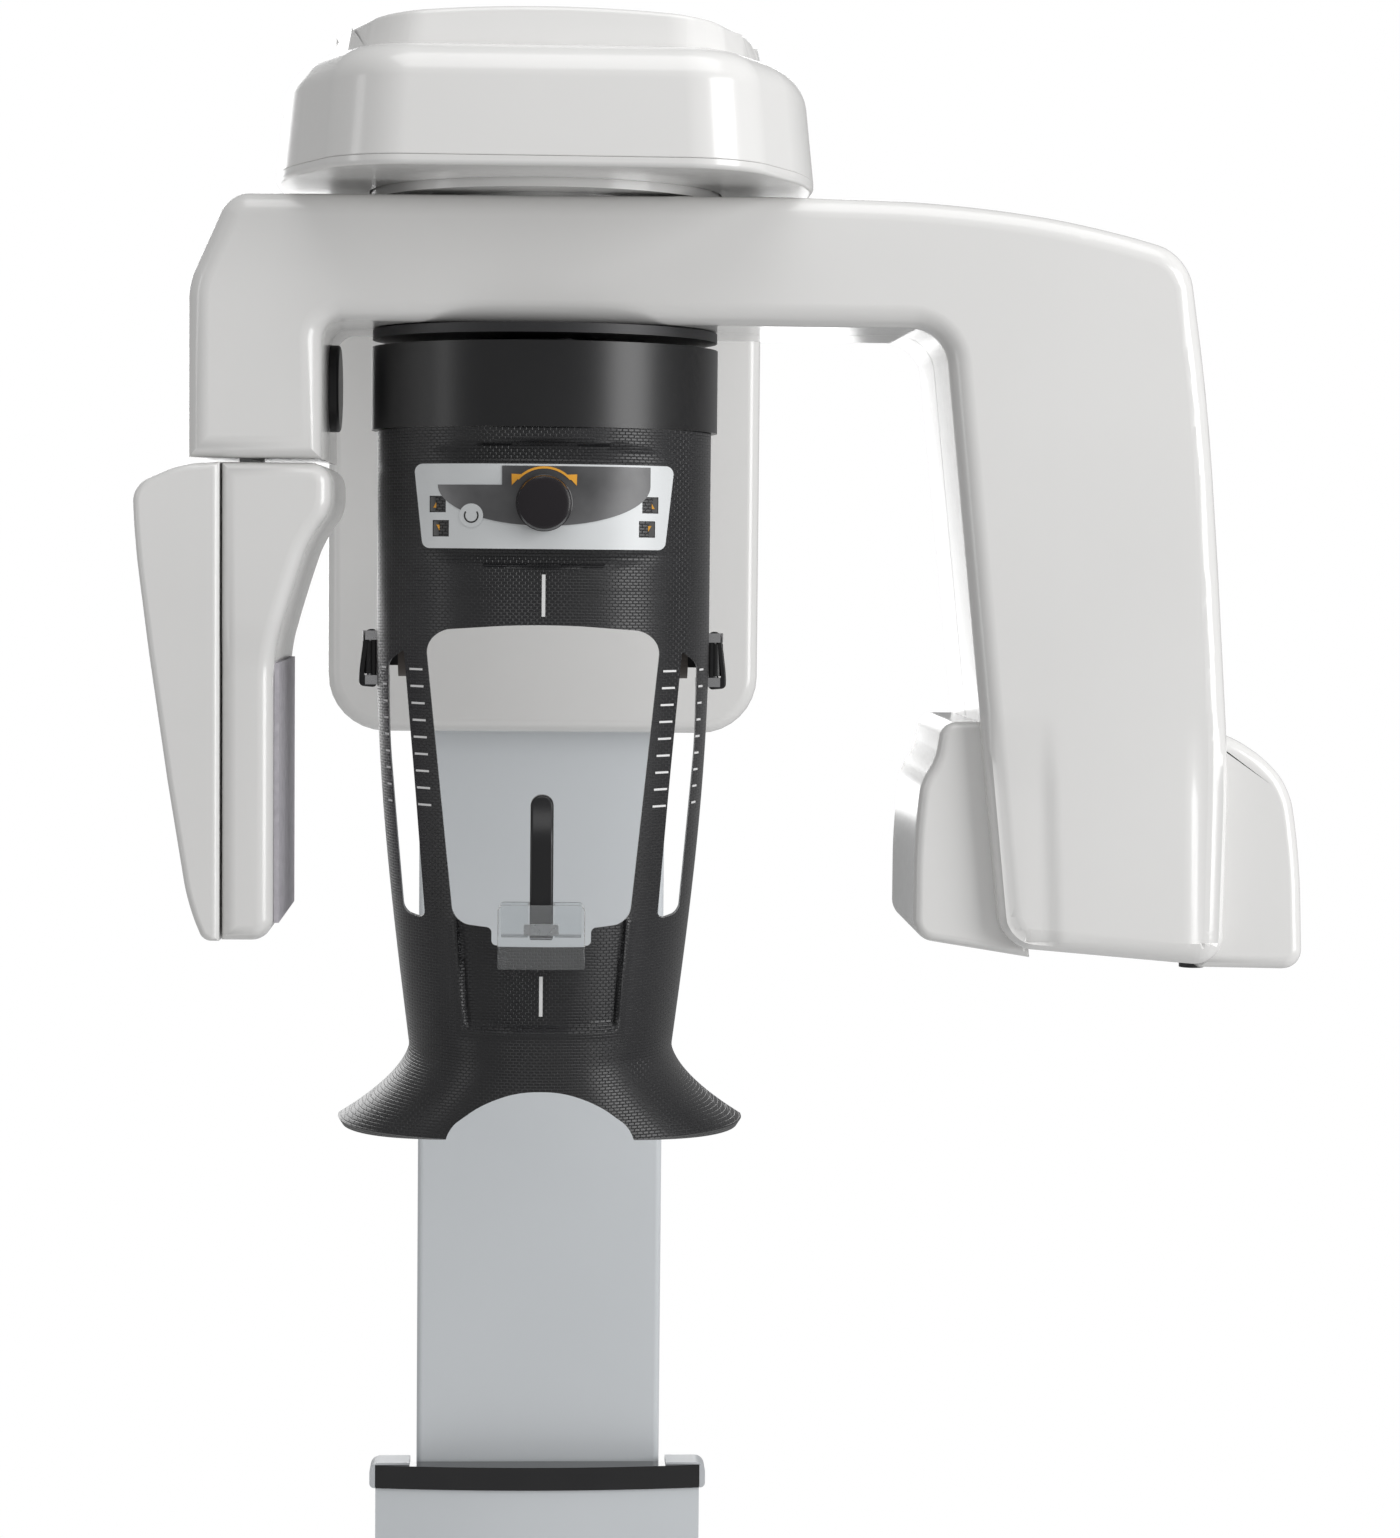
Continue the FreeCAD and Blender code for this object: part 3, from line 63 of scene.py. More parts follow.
def finish(name, dark, light, rough, grain, depth, patch=9.0, metallic=0.0, coat=0.0):
    material = bpy.data.materials.new(name)
    material.use_nodes = True
    nodes, links = material.node_tree.nodes, material.node_tree.links
    shader = nodes["Principled BSDF"]
    place = nodes.new("ShaderNodeTexCoord")
    drift = nodes.new("ShaderNodeTexNoise")
    drift.inputs["Scale"].default_value = patch
    drift.inputs["Detail"].default_value = 4.0
    tone = nodes.new("ShaderNodeValToRGB")
    tone.color_ramp.elements[0].position = 0.3
    tone.color_ramp.elements[0].color = (*dark, 1.0)
    tone.color_ramp.elements[1].position = 0.7
    tone.color_ramp.elements[1].color = (*light, 1.0)
    speck = nodes.new("ShaderNodeTexNoise")
    speck.inputs["Scale"].default_value = grain
    speck.inputs["Detail"].default_value = 3.0
    gloss = nodes.new("ShaderNodeMapRange")
    gloss.inputs["To Min"].default_value = rough * 0.85
    gloss.inputs["To Max"].default_value = min(1.0, rough * 1.18)
    relief = nodes.new("ShaderNodeBump")
    relief.inputs["Strength"].default_value = 0.6
    relief.inputs["Distance"].default_value = depth
    for source in (drift, speck):
        links.new(place.outputs["Object"], source.inputs["Vector"])
    links.new(drift.outputs["Fac"], tone.inputs["Fac"])
    links.new(tone.outputs["Color"], shader.inputs["Base Color"])
    links.new(speck.outputs["Fac"], gloss.inputs["Value"])
    links.new(gloss.outputs["Result"], shader.inputs["Roughness"])
    links.new(speck.outputs["Fac"], relief.inputs["Height"])
    links.new(relief.outputs["Normal"], shader.inputs["Normal"])
    shader.inputs["Metallic"].default_value = metallic
    shader.inputs["Coat Weight"].default_value = coat
    shader.inputs["Coat Roughness"].default_value = 0.12
    return material


def coat_nodes(material, *names):
    for name in names:
        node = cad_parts[name]
        for place in range(len(node.material_slots)):
            node.material_slots[place].material = material


base_coat = finish("base_powder_coat", (0.16, 0.165, 0.17), (0.2, 0.205, 0.21), 0.5, 1400.0, 0.00008)
bright_steel = finish("plated_steel", (0.5, 0.5, 0.51), (0.64, 0.64, 0.65), 0.28, 700.0, 0.00002,
                      patch=30.0, metallic=1.0)
coat_nodes(base_coat, "base_plate", "column_foot")
coat_nodes(bright_steel, "foot_bolts")

# Fixed column.  An extruded aluminium tube with a bowed front cover snapped over it, both in satin
# grey-blue paint, with a wall bracket at the top and a mains inlet and rocker switch at the foot.
column_paint = finish("column_satin_paint", (0.66, 0.69, 0.715), (0.71, 0.74, 0.765), 0.36, 1500.0,
                      0.00002, patch=2.5)
inlet_plastic = finish("inlet_black_plastic", (0.018, 0.018, 0.02), (0.03, 0.03, 0.032), 0.45, 1100.0,
                       0.00006)
coat_nodes(column_paint, "fixed_column", "fixed_column_cover")
coat_nodes(base_coat, "wall_bracket")
coat_nodes(inlet_plastic, "mains_inlet", "power_switch")

# Trim at the top of the fixed column.  A glossy black moulded band closes the mouth of the cover,
# and two light grey end caps clip over its corners on each side of the lifting column.
band_gloss = finish("band_black_gloss", (0.006, 0.006, 0.007), (0.012, 0.012, 0.013), 0.12, 300.0,
                    0.00001, coat=0.6)
cap_plastic = finish("cap_grey_plastic", (0.56, 0.58, 0.60), (0.61, 0.63, 0.65), 0.4, 1200.0, 0.00004)
coat_nodes(band_gloss, "column_band")
coat_nodes(cap_plastic, "column_end_caps")

# Lifting column and its running gear.  A painted aluminium tube rises on plain pads along two steel
# rails, driven by a plated lift rod inside a steel guide tube.
slide_plastic = finish("slide_pad_plastic", (0.70, 0.69, 0.64), (0.76, 0.75, 0.70), 0.45, 900.0, 0.00003)
coat_nodes(column_paint, "mobile_column")
coat_nodes(bright_steel, "guide_rails", "lift_rod", "lift_tube")
coat_nodes(slide_plastic, "slide_pads")

# Head panel over the lifting column.  A vacuum-formed white panel with rounded lower corners and a
# soft rolled rim, closed behind by a plain cover; both are screwed to the head frame.


def cut_grid(bm, xs=(), ys=(), zs=()):
    for axis, stations in enumerate((xs, ys, zs)):
        for station in stations:
            place, facing = Vector((0, 0, 0)), Vector((0, 0, 0))
            place[axis], facing[axis] = station, 1.0
            bmesh.ops.bisect_plane(bm, geom=bm.verts[:] + bm.edges[:] + bm.faces[:], dist=1e-6,
                                   plane_co=place, plane_no=facing)


def moulding(outline, near, far, rim, far_rim=0.0006, steps=6):
    """A slab in the XZ plane.  Each corner is (x, z, reach) in millimetres, reach being how far back
    along its sides the corner starts to round.  The rims are rounded by rim and far_rim."""
    bm = bmesh.new()
    corners = [bm.verts.new((x * MM, near, z * MM)) for x, z, reach in outline]
    bm.faces.new(corners)
    for corner, (x, z, reach) in zip(corners, outline):
        if reach:
            bmesh.ops.bevel(bm, geom=[corner], offset=reach * MM, affect="VERTICES", segments=8,
                            profile=0.5, material=-1)
    made = bmesh.ops.extrude_face_region(bm, geom=bm.faces[:])
    moved = [part for part in made["geom"] if isinstance(part, bmesh.types.BMVert)]
    bmesh.ops.translate(bm, vec=(0, far - near, 0), verts=moved)
    bmesh.ops.recalc_face_normals(bm, faces=bm.faces[:])
    for level, amount in ((near, rim), (far, far_rim)):
        if amount:
            edges = [e for e in bm.edges if all(abs(v.co.y - level) < 1e-6 for v in e.verts)]
            bmesh.ops.bevel(bm, geom=edges, offset=amount, affect="EDGES", segments=steps,
                            profile=0.5, material=-1, clamp_overlap=False)
    return bm


def piece(name, bm, material, body, slot, *stands_for, sharp=35.0):
    mesh = bpy.data.meshes.new(name)
    bm.to_mesh(mesh)
    bm.free()
    mesh.shade_smooth()
    mesh.set_sharp_from_angle(angle=math.radians(sharp))
    mesh.materials.append(material)
    made = bpy.data.objects.new(name, mesh)
    bpy.context.scene.collection.objects.link(made)
    weigh = made.modifiers.new("even_normals", "WEIGHTED_NORMAL")
    weigh.keep_sharp = True
    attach(made, body)
    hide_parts(*stands_for)
    return made


shell_white = finish("shell_gloss_white", (0.775, 0.77, 0.76), (0.81, 0.805, 0.795), 0.2, 160.0, 0.00003,
                     patch=4.0, coat=0.35)
PANEL_CORNER, PANEL_RIM = 46.0, 0.011
panel_low, panel_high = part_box("head_front_panel")
panel_left, panel_right = panel_low.x / MM, panel_high.x / MM
panel_foot, panel_top = panel_low.z / MM, panel_high.z / MM
panel_outline = [(panel_left, panel_foot, PANEL_CORNER), (panel_right, panel_foot, PANEL_CORNER),
                 (panel_right, panel_top, 14), (panel_left, panel_top, 14)]
piece("head_panel", moulding(panel_outline, panel_low.y, panel_high.y, PANEL_RIM), shell_white, "lift",
      "shell_white", "head_front_panel")
coat_nodes(shell_white, "head_rear_cover")

# Dome over the turntable.  A deep white moulding with a faceted front and a rolled top edge, a
# raised lid with an arched top screwed on it, and a shallow tray that closes it from below.


def hood(plan, foot, head, draft, rim, foot_rim=0.0008):
    """An upright block.  Its plan has corners (x, y, reach) in millimetres; it leans in by draft
    towards its head, and its top edge is rounded by rim."""
    bm = bmesh.new()
    corners = [bm.verts.new((x * MM, y * MM, foot)) for x, y, reach in plan]
    bm.faces.new(corners)
    for corner, (x, y, reach) in zip(corners, plan):
        bmesh.ops.bevel(bm, geom=[corner], offset=reach * MM, affect="VERTICES", segments=10,
                        profile=0.5, material=-1)
    made = bmesh.ops.extrude_face_region(bm, geom=bm.faces[:])
    raised = [part for part in made["geom"] if isinstance(part, bmesh.types.BMVert)]
    bmesh.ops.translate(bm, vec=(0, 0, head - foot), verts=raised)
    wide = max(v.co.x for v in raised)
    front, back = min(v.co.y for v in raised), max(v.co.y for v in raised)
    for v in raised:
        v.co.x *= (wide - draft) / wide
        v.co.y += draft * (back - v.co.y) / (back - front)
    bmesh.ops.recalc_face_normals(bm, faces=bm.faces[:])
    for level, amount in ((head, rim), (foot, foot_rim)):
        if not amount:
            continue
        edges = [e for e in bm.edges if all(abs(v.co.z - level) < 1e-6 for v in e.verts)]
        bmesh.ops.bevel(bm, geom=edges, offset=amount, affect="EDGES", segments=8, profile=0.5,
                        material=-1, clamp_overlap=False)
    return bm


DOME_FACET, DOME_TURN, DOME_DRAFT, DOME_RIM = 118.0, 105.0, 0.007, 0.022
dome_low, dome_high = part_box("dome_cover")
dome_half, dome_front, dome_back = dome_high.x / MM, dome_low.y / MM, dome_high.y / MM
dome_plan = [(-DOME_FACET, dome_front, 34), (DOME_FACET, dome_front, 34),
             (dome_half, dome_front + DOME_TURN, 44), (dome_half, dome_back, 32),
             (-dome_half, dome_back, 32), (-dome_half, dome_front + DOME_TURN, 44)]
piece("dome_hood", hood(dome_plan, dome_low.z, dome_high.z, DOME_DRAFT, DOME_RIM), shell_white, "lift",
      "shell_white", "dome_cover")
LID_FACET, LID_TURN, LID_DRAFT, LID_RIM, LID_ARCH = 100.0, 74.0, 0.005, 0.003, 0.010
lid_low, lid_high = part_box("dome_lid")
lid_half, lid_front, lid_back = lid_high.x / MM, lid_low.y / MM, lid_high.y / MM
lid_plan = [(-LID_FACET, lid_front, 24), (LID_FACET, lid_front, 24), (lid_half, lid_front + LID_TURN, 30),
            (lid_half, lid_back, 20), (-lid_half, lid_back, 20), (-lid_half, lid_front + LID_TURN, 30)]
lid_bm = hood(lid_plan, lid_low.z, lid_high.z, LID_DRAFT, LID_RIM)
cut_grid(lid_bm, xs=[x * 0.012 for x in range(-11, 12)])
for v in lid_bm.verts:
    if v.co.z > lid_high.z - LID_RIM - 1e-5:
        v.co.z -= LID_ARCH * (v.co.x / lid_high.x) ** 2
piece("dome_lid_skin", lid_bm, shell_white, "lift", "shell_white", "dome_lid")


def carve(target, *cutters):
    """Cuts each closed bmesh out of the target piece and keeps the result as its mesh."""
    for cutter_bm in cutters:
        cutter_mesh = bpy.data.meshes.new("cutter")
        cutter_bm.to_mesh(cutter_mesh)
        cutter_bm.free()
        cutter = bpy.data.objects.new("cutter", cutter_mesh)
        bpy.context.scene.collection.objects.link(cutter)
        opening = target.modifiers.new("opening", "BOOLEAN")
        opening.operation, opening.solver, opening.object = "DIFFERENCE", "EXACT", cutter
        while target.modifiers[0] != opening:
            target.modifiers.move(len(target.modifiers) - 1, 0)
        others = [m for m in target.modifiers if m != opening]
        for m in others:
            m.show_viewport = False
        bpy.context.view_layer.update()
        cut_mesh = bpy.data.meshes.new_from_object(target.evaluated_get(
            bpy.context.evaluated_depsgraph_get()))
        for m in others:
            m.show_viewport = True
        target.modifiers.remove(opening)
        worn, target.data = target.data, cut_mesh
        bpy.data.meshes.remove(worn)
        bpy.data.objects.remove(cutter)
        bpy.data.meshes.remove(cutter_mesh)


def bar(low, high):
    """A rectangular cutter between two corners, in metres."""
    bm = bmesh.new()
    bmesh.ops.create_cube(bm, size=1.0)
    bmesh.ops.scale(bm, vec=Vector(high) - Vector(low), verts=bm.verts[:])
    bmesh.ops.translate(bm, vec=(Vector(high) + Vector(low)) / 2, verts=bm.verts[:])
    return bm


def plug(centre, radius, low, high):
    """An upright round cutter, in metres."""
    bm = bmesh.new()
    bmesh.ops.create_cone(bm, cap_ends=True, segments=96, radius1=radius, radius2=radius, depth=high - low)
    bmesh.ops.translate(bm, vec=(centre[0], centre[1], (low + high) / 2), verts=bm.verts[:])
    return bm


TRAY_RIM, RING_ROOM = 0.003, 0.1135
tray_low, tray_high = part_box("dome_tray")
tray_bm = hood(dome_plan, tray_low.z, tray_high.z, 0.0, 0.0, TRAY_RIM)
tray_skin = piece("dome_tray_skin", tray_bm, shell_white, "lift", "shell_white", "dome_tray")
carve(tray_skin, plug((0, 0), RING_ROOM, tray_low.z - 0.02, tray_high.z + 0.02),
      bar((panel_low.x + 0.004, panel_low.y + 0.004, tray_low.z - 0.02),
          (panel_high.x - 0.004, tray_high.y + 0.02, tray_high.z + 0.02)))

# Frame of the head and the turning gear.  A welded steel beam and plate carry the post bridge, the
# bearing ring and the turntable, which a belt from a small motor turns.
frame_steel = finish("zinc_plated_frame", (0.42, 0.42, 0.41), (0.5, 0.5, 0.49), 0.42, 500.0, 0.00004,
                     patch=20.0, metallic=0.9)
cast_aluminium = finish("cast_aluminium", (0.55, 0.555, 0.56), (0.63, 0.635, 0.64), 0.4, 900.0, 0.00006,
                        patch=24.0, metallic=0.85)
belt_rubber = finish("belt_rubber", (0.02, 0.02, 0.02), (0.03, 0.03, 0.03), 0.75, 1500.0, 0.0001)
coat_nodes(frame_steel, "head_frame", "post_bridge", "shift_rails", "drive_pinion")
coat_nodes(bright_steel, "turntable_bearing")
coat_nodes(shell_white, "turntable")
coat_nodes(cast_aluminium, "arm_frame")
coat_nodes(belt_rubber, "drive_belt")
coat_nodes(inlet_plastic, "drive_motor")

# Arm.  Two glossy white halves meet in the middle plane: a short sensor leg, a level beam over the
# hub and a long slanted tube leg, with every outer edge rolled over.  Two soft creases run down
# the tube leg beside its raised front.
ARM_RIM = 0.014
arm_low, arm_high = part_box("arm_front_shell")
arm_left, arm_crest = arm_low.x / MM, arm_high.z / MM
LEG_IN, LEG_FOOT, UNDERSIDE, TUBE_TOP_IN, TUBE_FOOT_IN = -138.5, 1887.5, 1973.0, 250.0, 291.0
TUBE_FOOT, TUBE_FOOT_OUT, TUBE_WAIST_OUT = 1572.0, 432.0, 434.0
arm_outline = [(arm_left, LEG_FOOT, 0), (arm_left, arm_crest - 57, 9), (arm_left + 25, arm_crest - 1, 12),
               (170, arm_crest + 1.5, 50), (262, arm_crest - 2, 38), (345, arm_crest - 14, 36),
               (403, arm_crest - 31, 20), (417, 1925, 40), (429, 1775, 50), (TUBE_WAIST_OUT, 1690, 20),
               (TUBE_FOOT_OUT, TUBE_FOOT, 19), (TUBE_FOOT_IN, TUBE_FOOT + 12, 19),
               (TUBE_TOP_IN, UNDERSIDE, 22), (LEG_IN, UNDERSIDE, 12), (LEG_IN, LEG_FOOT, 0)]
CREASE_DEEP, CREASE_SOFT, CREASE_TOP, CREASE_FADE, FACE_BAND = 0.0024, 0.011, 1.735, 0.050, 0.004
CREASE_IN, CREASE_OUT = [(322, 1740), (329, 1588)], [(404, 1740), (407, 1588)]
HALF_GAP = 0.0002


def pressed_flank(casing, face, towards, line):
    """Presses a face in beside a line of (x, z) in millimetres, dying out at the crease's top."""
    for v in casing.verts:
        if abs(v.co.y - face) > FACE_BAND:
            continue
        for (x0, z0), (x1, z1) in zip(line, line[1:]):
            if z1 * MM <= v.co.z <= z0 * MM:
                edge = (x0 + (x1 - x0) * (v.co.z / MM - z0) / (z1 - z0)) * MM
                share = min(1.0, max(0.0, (v.co.x - edge) * towards / CREASE_SOFT))
                rise = min(1.0, max(0.0, (CREASE_TOP - v.co.z) / CREASE_FADE))
                v.co.y += math.copysign(CREASE_DEEP, -face) * share * share * (3 - 2 * share) * rise


for name, near, far in (("front", arm_low.y, -HALF_GAP), ("rear", -arm_low.y, HALF_GAP)):
    arm_bm = moulding(arm_outline, near, far, ARM_RIM)
    cut_grid(arm_bm, xs=[x * MM for x in (*range(306, 334, 3), *range(398, 424, 3))],
             zs=[z * MM for z in range(1588, 1740, 8)])
    pressed_flank(arm_bm, near, -1, CREASE_IN)
    pressed_flank(arm_bm, near, 1, CREASE_OUT)
    piece("arm_%s_moulding" % name, arm_bm, shell_white, "arm", "shell_white", "arm_%s_shell" % name)

# Sensor head.  An outer and an inner casing meet at an upright seam; the inner one is set back below
# a soft step, and a rough grey window plate faces the patient.
SENSOR_FOOT, SENSOR_TOP, SENSOR_SEAM, SENSOR_RIM, STEP_DEPTH = 1586.0, 1885.0, -201.0, 0.010, 0.0025
NARROW_RIM = 0.0045
sensor_low, sensor_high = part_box("sensor_outer_casing")
sensor_left = sensor_low.x / MM
outer_outline = [(SENSOR_SEAM - 0.4, SENSOR_FOOT, 0), (-211.5, SENSOR_FOOT, 5), (-221, 1609, 14),
                 (-240, 1726, 40), (-254, 1836, 20), (sensor_left, 1870, 10), (-226, 1883, 9),
                 (SENSOR_SEAM - 0.4, SENSOR_TOP, 0)]
inner_outline = [(SENSOR_SEAM + 0.4, SENSOR_FOOT, 0), (-168.6, SENSOR_FOOT, 13), (-168.6, 1764, 14),
                 (-158, 1802, 18), (-146, 1838, 12), (-132.5, 1855, 8), (-132.5, SENSOR_TOP, 13),
                 (SENSOR_SEAM + 0.4, SENSOR_TOP, 0)]
for name, outline in (("outer", outer_outline), ("inner", inner_outline)):
    rim = NARROW_RIM if name == "outer" else SENSOR_RIM
    casing = moulding(outline, sensor_low.y, sensor_high.y, rim, rim)
    if name == "inner":
        cut_grid(casing, zs=[z * MM for z in range(1746, 1794, 4)])
        for v in casing.verts:
            if v.co.y < sensor_low.y + SENSOR_RIM:
                share = min(1.0, max(0.0, (1.788 - v.co.z) / 0.034))
                v.co.y += STEP_DEPTH * share * share * (3.0 - 2.0 * share)
    piece("sensor_%s_moulding" % name, casing, shell_white, "arm", "shell_white",
          "sensor_%s_casing" % name)

# Tube head.  Two cheeks swell out beside the foot of the tube leg: a bottle-shaped one facing the
# patient and a shouldered one outside, both white mouldings round the lead-lined tank.
CHEEK_RIM = 0.016
inner_low, inner_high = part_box("tube_head_cover_inner")
outer_low, outer_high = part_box("tube_head_cover_outer")
neck_in, flank_out = inner_low.x / MM, outer_high.x / MM
inner_cheek = [(neck_in + 17, 1726, 9), (neck_in + 13, 1701, 8), (neck_in + 4, 1688, 7),
               (neck_in, 1650, 20), (neck_in, 1588, 12), (TUBE_FOOT_IN + 20, 1576, 0),
               (TUBE_FOOT_IN + 4, 1726, 0)]
outer_cheek = [(424, 1722, 0), (440, 1717, 8), (462, 1703, 12), (477, 1684, 12), (484, 1640, 24),
               (flank_out, 1569, 13), (420, 1570, 0)]
piece("tube_head_inner_moulding",
      moulding(inner_cheek, inner_low.y, inner_high.y, CHEEK_RIM * 0.4, CHEEK_RIM * 0.4), shell_white,
      "arm", "shell_white", "tube_head_cover_inner")
piece("tube_head_outer_moulding",
      moulding(outer_cheek, outer_low.y, outer_high.y, CHEEK_RIM * 0.55, CHEEK_RIM * 0.55), shell_white,
      "arm", "shell_white", "tube_head_cover_outer")

# Parts inside the arm: the flat sensor and its board, and the x-ray tube in its lead-lined tank.
tank_paint = finish("tank_grey_paint", (0.2, 0.21, 0.22), (0.25, 0.26, 0.27), 0.5, 1000.0, 0.00005)
board_green = finish("board_green", (0.02, 0.13, 0.05), (0.03, 0.18, 0.07), 0.4, 800.0, 0.00004)
tube_glass = finish("tube_glass", (0.72, 0.78, 0.78), (0.8, 0.86, 0.86), 0.08, 200.0, 0.00001)
sensor_grey = finish("sensor_plate_grey", (0.42, 0.40, 0.44), (0.52, 0.50, 0.54), 0.6, 420.0, 0.0003,
                     patch=160.0)
coat_nodes(tank_paint, "tube_tank", "aperture_plate")
coat_nodes(board_green, "readout_board")
coat_nodes(tube_glass, "xray_tube")
coat_nodes(sensor_grey, "sensor_window")
coat_nodes(inlet_plastic, "flat_sensor", "hub_disc", "laser_window", "tube_head_feet")

# Patient frame, its collar and post.  The frame is a moulding with a woven carbon look; the collar
# above it is satin black and hides the joint with the post.
collar_satin = finish("collar_satin_black", (0.008, 0.008, 0.009), (0.014, 0.014, 0.015), 0.32, 1300.0,
                      0.00004)
coat_nodes(collar_satin, "frame_collar", "frame_post", "temple_arm_left", "temple_arm_right")


def woven(name, dark, light, rough):
    """A pressed twill: rows of short staggered pillows, 3.7 by 1.9 mm."""
    material = finish(name, dark, light, rough, 1500.0, 0.00003)
    nodes, links = material.node_tree.nodes, material.node_tree.links
    place = nodes.new("ShaderNodeTexCoord")
    turn = nodes.new("ShaderNodeMapping")
    turn.inputs["Rotation"].default_value = (math.radians(-90.0), 0.0, 0.0)
    weave = nodes.new("ShaderNodeTexBrick")
    weave.inputs["Scale"].default_value = 1.0
    weave.inputs["Brick Width"].default_value = 0.0037
    weave.inputs["Row Height"].default_value = 0.0019
    weave.inputs["Mortar Size"].default_value = 0.0004
    weave.inputs["Mortar Smooth"].default_value = 1.0
    pressed = nodes.new("ShaderNodeBump")
    pressed.inputs["Strength"].default_value = 0.7
    pressed.inputs["Distance"].default_value = 0.0004
    pressed.invert = True
    links.new(place.outputs["Object"], turn.inputs["Vector"])
    links.new(turn.outputs["Vector"], weave.inputs["Vector"])
    links.new(weave.outputs["Fac"], pressed.inputs["Height"])
    for node in nodes:
        if node.type == "BUMP" and node != pressed:
            links.new(node.outputs["Normal"], pressed.inputs["Normal"])
    links.new(pressed.outputs["Normal"], nodes["Principled BSDF"].inputs["Normal"])
    return material


# The frame itself: one half-oval wall, open behind, cylindrical under the collar, narrowing to the
# chin and sweeping out in two wings.  It has a face window, side slots, a neck arch, a sunken chin
# panel, and scooped hollows above and below the label.
frame_weave = woven("frame_woven_black", (0.011, 0.011, 0.012), (0.018, 0.018, 0.02), 0.33)
OVAL_POWER, WALL, WAIST, CHIN, CHIN_HALF, WING_HALF = 2.2, 0.005, 1.780, 1.512, 0.0855, 0.1315
frame_low, frame_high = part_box("patient_frame")
collar_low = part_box("frame_collar")[0]
frame_high.z = collar_low.z - 0.0003
UPPER_HALF, UPPER_DEPTH = 0.1075, 0.110


def ease(value, start, end):
    share = min(1.0, max(0.0, (value - start) / (end - start)))
    return share * share * (3.0 - 2.0 * share)


def frame_half(z):
    """Half width of the frame at a height: straight to the waist, then in to the chin, then out."""
    if z >= WAIST:
        return UPPER_HALF
    if z >= CHIN:
        return CHIN_HALF + (UPPER_HALF - CHIN_HALF) * math.sin(math.pi / 2 * (z - CHIN) / (WAIST - CHIN))
    return CHIN_HALF + (WING_HALF - CHIN_HALF) * ((CHIN - z) / (CHIN - frame_low.z)) ** 1.7


def frame_front(x, z):
    """The frame's outer face straight in front of a point, before its hollows."""
    share = min(1.0, abs(x) / frame_half(z))
    return -UPPER_DEPTH * (1.0 - share ** OVAL_POWER) ** (1.0 / OVAL_POWER)


def frame_relief(x, z):
    """How far the outer face is pressed in, in metres; raised edges are negative."""
    sunk = 0.0
    half = 0.0475 + 0.006 * (z - 1.533) / 0.066
    edge = min(half - abs(x), z - 1.533, 1.610 - z)
    sunk += 0.004 * ease(edge, 0.0, 0.003) - 0.0012 * ease(-abs(edge + 0.0015), -0.003, 0.0) * (z < 1.6)
    brow = 1.8995 - 0.0065 * (x / 0.08) ** 2
    if abs(x) < 0.082:
        taper = 1.0 - (x / 0.082) ** 2
        sunk += 0.0045 * taper * ease(brow - z, 0.0, 0.002) * ease(z, 1.883, 1.888)
        lip = 1.8205 + 0.006 * (x / 0.08) ** 2
        sunk += 0.0040 * taper * ease(z - lip, 0.0, 0.002) * (1.0 - ease(z, 1.828, 1.834))
    sunk += 0.0005 * ease(-abs(z - 1.8052), -0.0014, 0.0)
    return sunk


frame_bm = bmesh.new()
bmesh.ops.create_grid(frame_bm, x_segments=150, y_segments=190, size=1.0)
for v in frame_bm.verts:
    across, up = v.co.x, (v.co.y + 1.0) / 2
    z = frame_low.z + up * (frame_high.z - frame_low.z)
    turn = math.pi / 2 * min(1.0, abs(across) / 0.96)
    x = math.copysign(frame_half(z) * abs(math.sin(turn)) ** (2 / OVAL_POWER), across)
    y = -UPPER_DEPTH * abs(math.cos(turn)) ** (2 / OVAL_POWER)
    if abs(across) > 0.96:
        x, y = math.copysign(frame_half(z), across), frame_high.y * (abs(across) - 0.96) / 0.04
    v.co = (x, y, z)
bmesh.ops.recalc_face_normals(frame_bm, faces=frame_bm.faces[:])
facing = sum(f.normal.y for f in frame_bm.faces)
if facing > 0:
    bmesh.ops.reverse_faces(frame_bm, faces=frame_bm.faces[:])
bmesh.ops.solidify(frame_bm, geom=frame_bm.faces[:], thickness=WALL)
bmesh.ops.recalc_face_normals(frame_bm, faces=frame_bm.faces[:])
for v in frame_bm.verts:
    if v.co.y < -0.03 and abs(v.co.y - frame_front(v.co.x, v.co.z)) < 0.0004:
        v.co.y += frame_relief(v.co.x, v.co.z)
shell = piece("frame_shell", frame_bm, frame_weave, "lift", "black_frame", "patient_frame", sharp=50.0)


def window(outline):
    return moulding(outline, frame_low.y - 0.03, frame_high.y + 0.03, 0.0, 0.0)


NOTCH_HALF = 31.0
carve(shell,
      window([(-66, 1782, 8), (0, 1787, 30), (66, 1782, 8), (73, 1771, 4), (55, 1599, 10),
              (NOTCH_HALF, 1597, 3), (NOTCH_HALF, 1586, 3), (-NOTCH_HALF, 1586, 3),
              (-NOTCH_HALF, 1597, 3), (-55, 1599, 10), (-73, 1771, 4)]),
      window([(-60, frame_low.z / MM - 8, 0), (-58, 1470, 8), (-30, 1491, 16), (0, 1496.5, 13),
              (30, 1491, 16), (58, 1470, 8), (60, frame_low.z / MM - 8, 0)]),
      *[window([(side * 87.5, 1769, 2), (side * 98, 1761, 4), (side * 97, 1709, 10),
                (side * 87.5, 1602, 5), (side * 73, 1600, 5), (side * 80, 1686, 10)])
        for side in (-1, 1)])
finish_edge = shell.modifiers.new("moulded_edge", "BEVEL")
finish_edge.width, finish_edge.segments, finish_edge.limit_method = 0.0008, 2, "ANGLE"
finish_edge.angle_limit = math.radians(60.0)
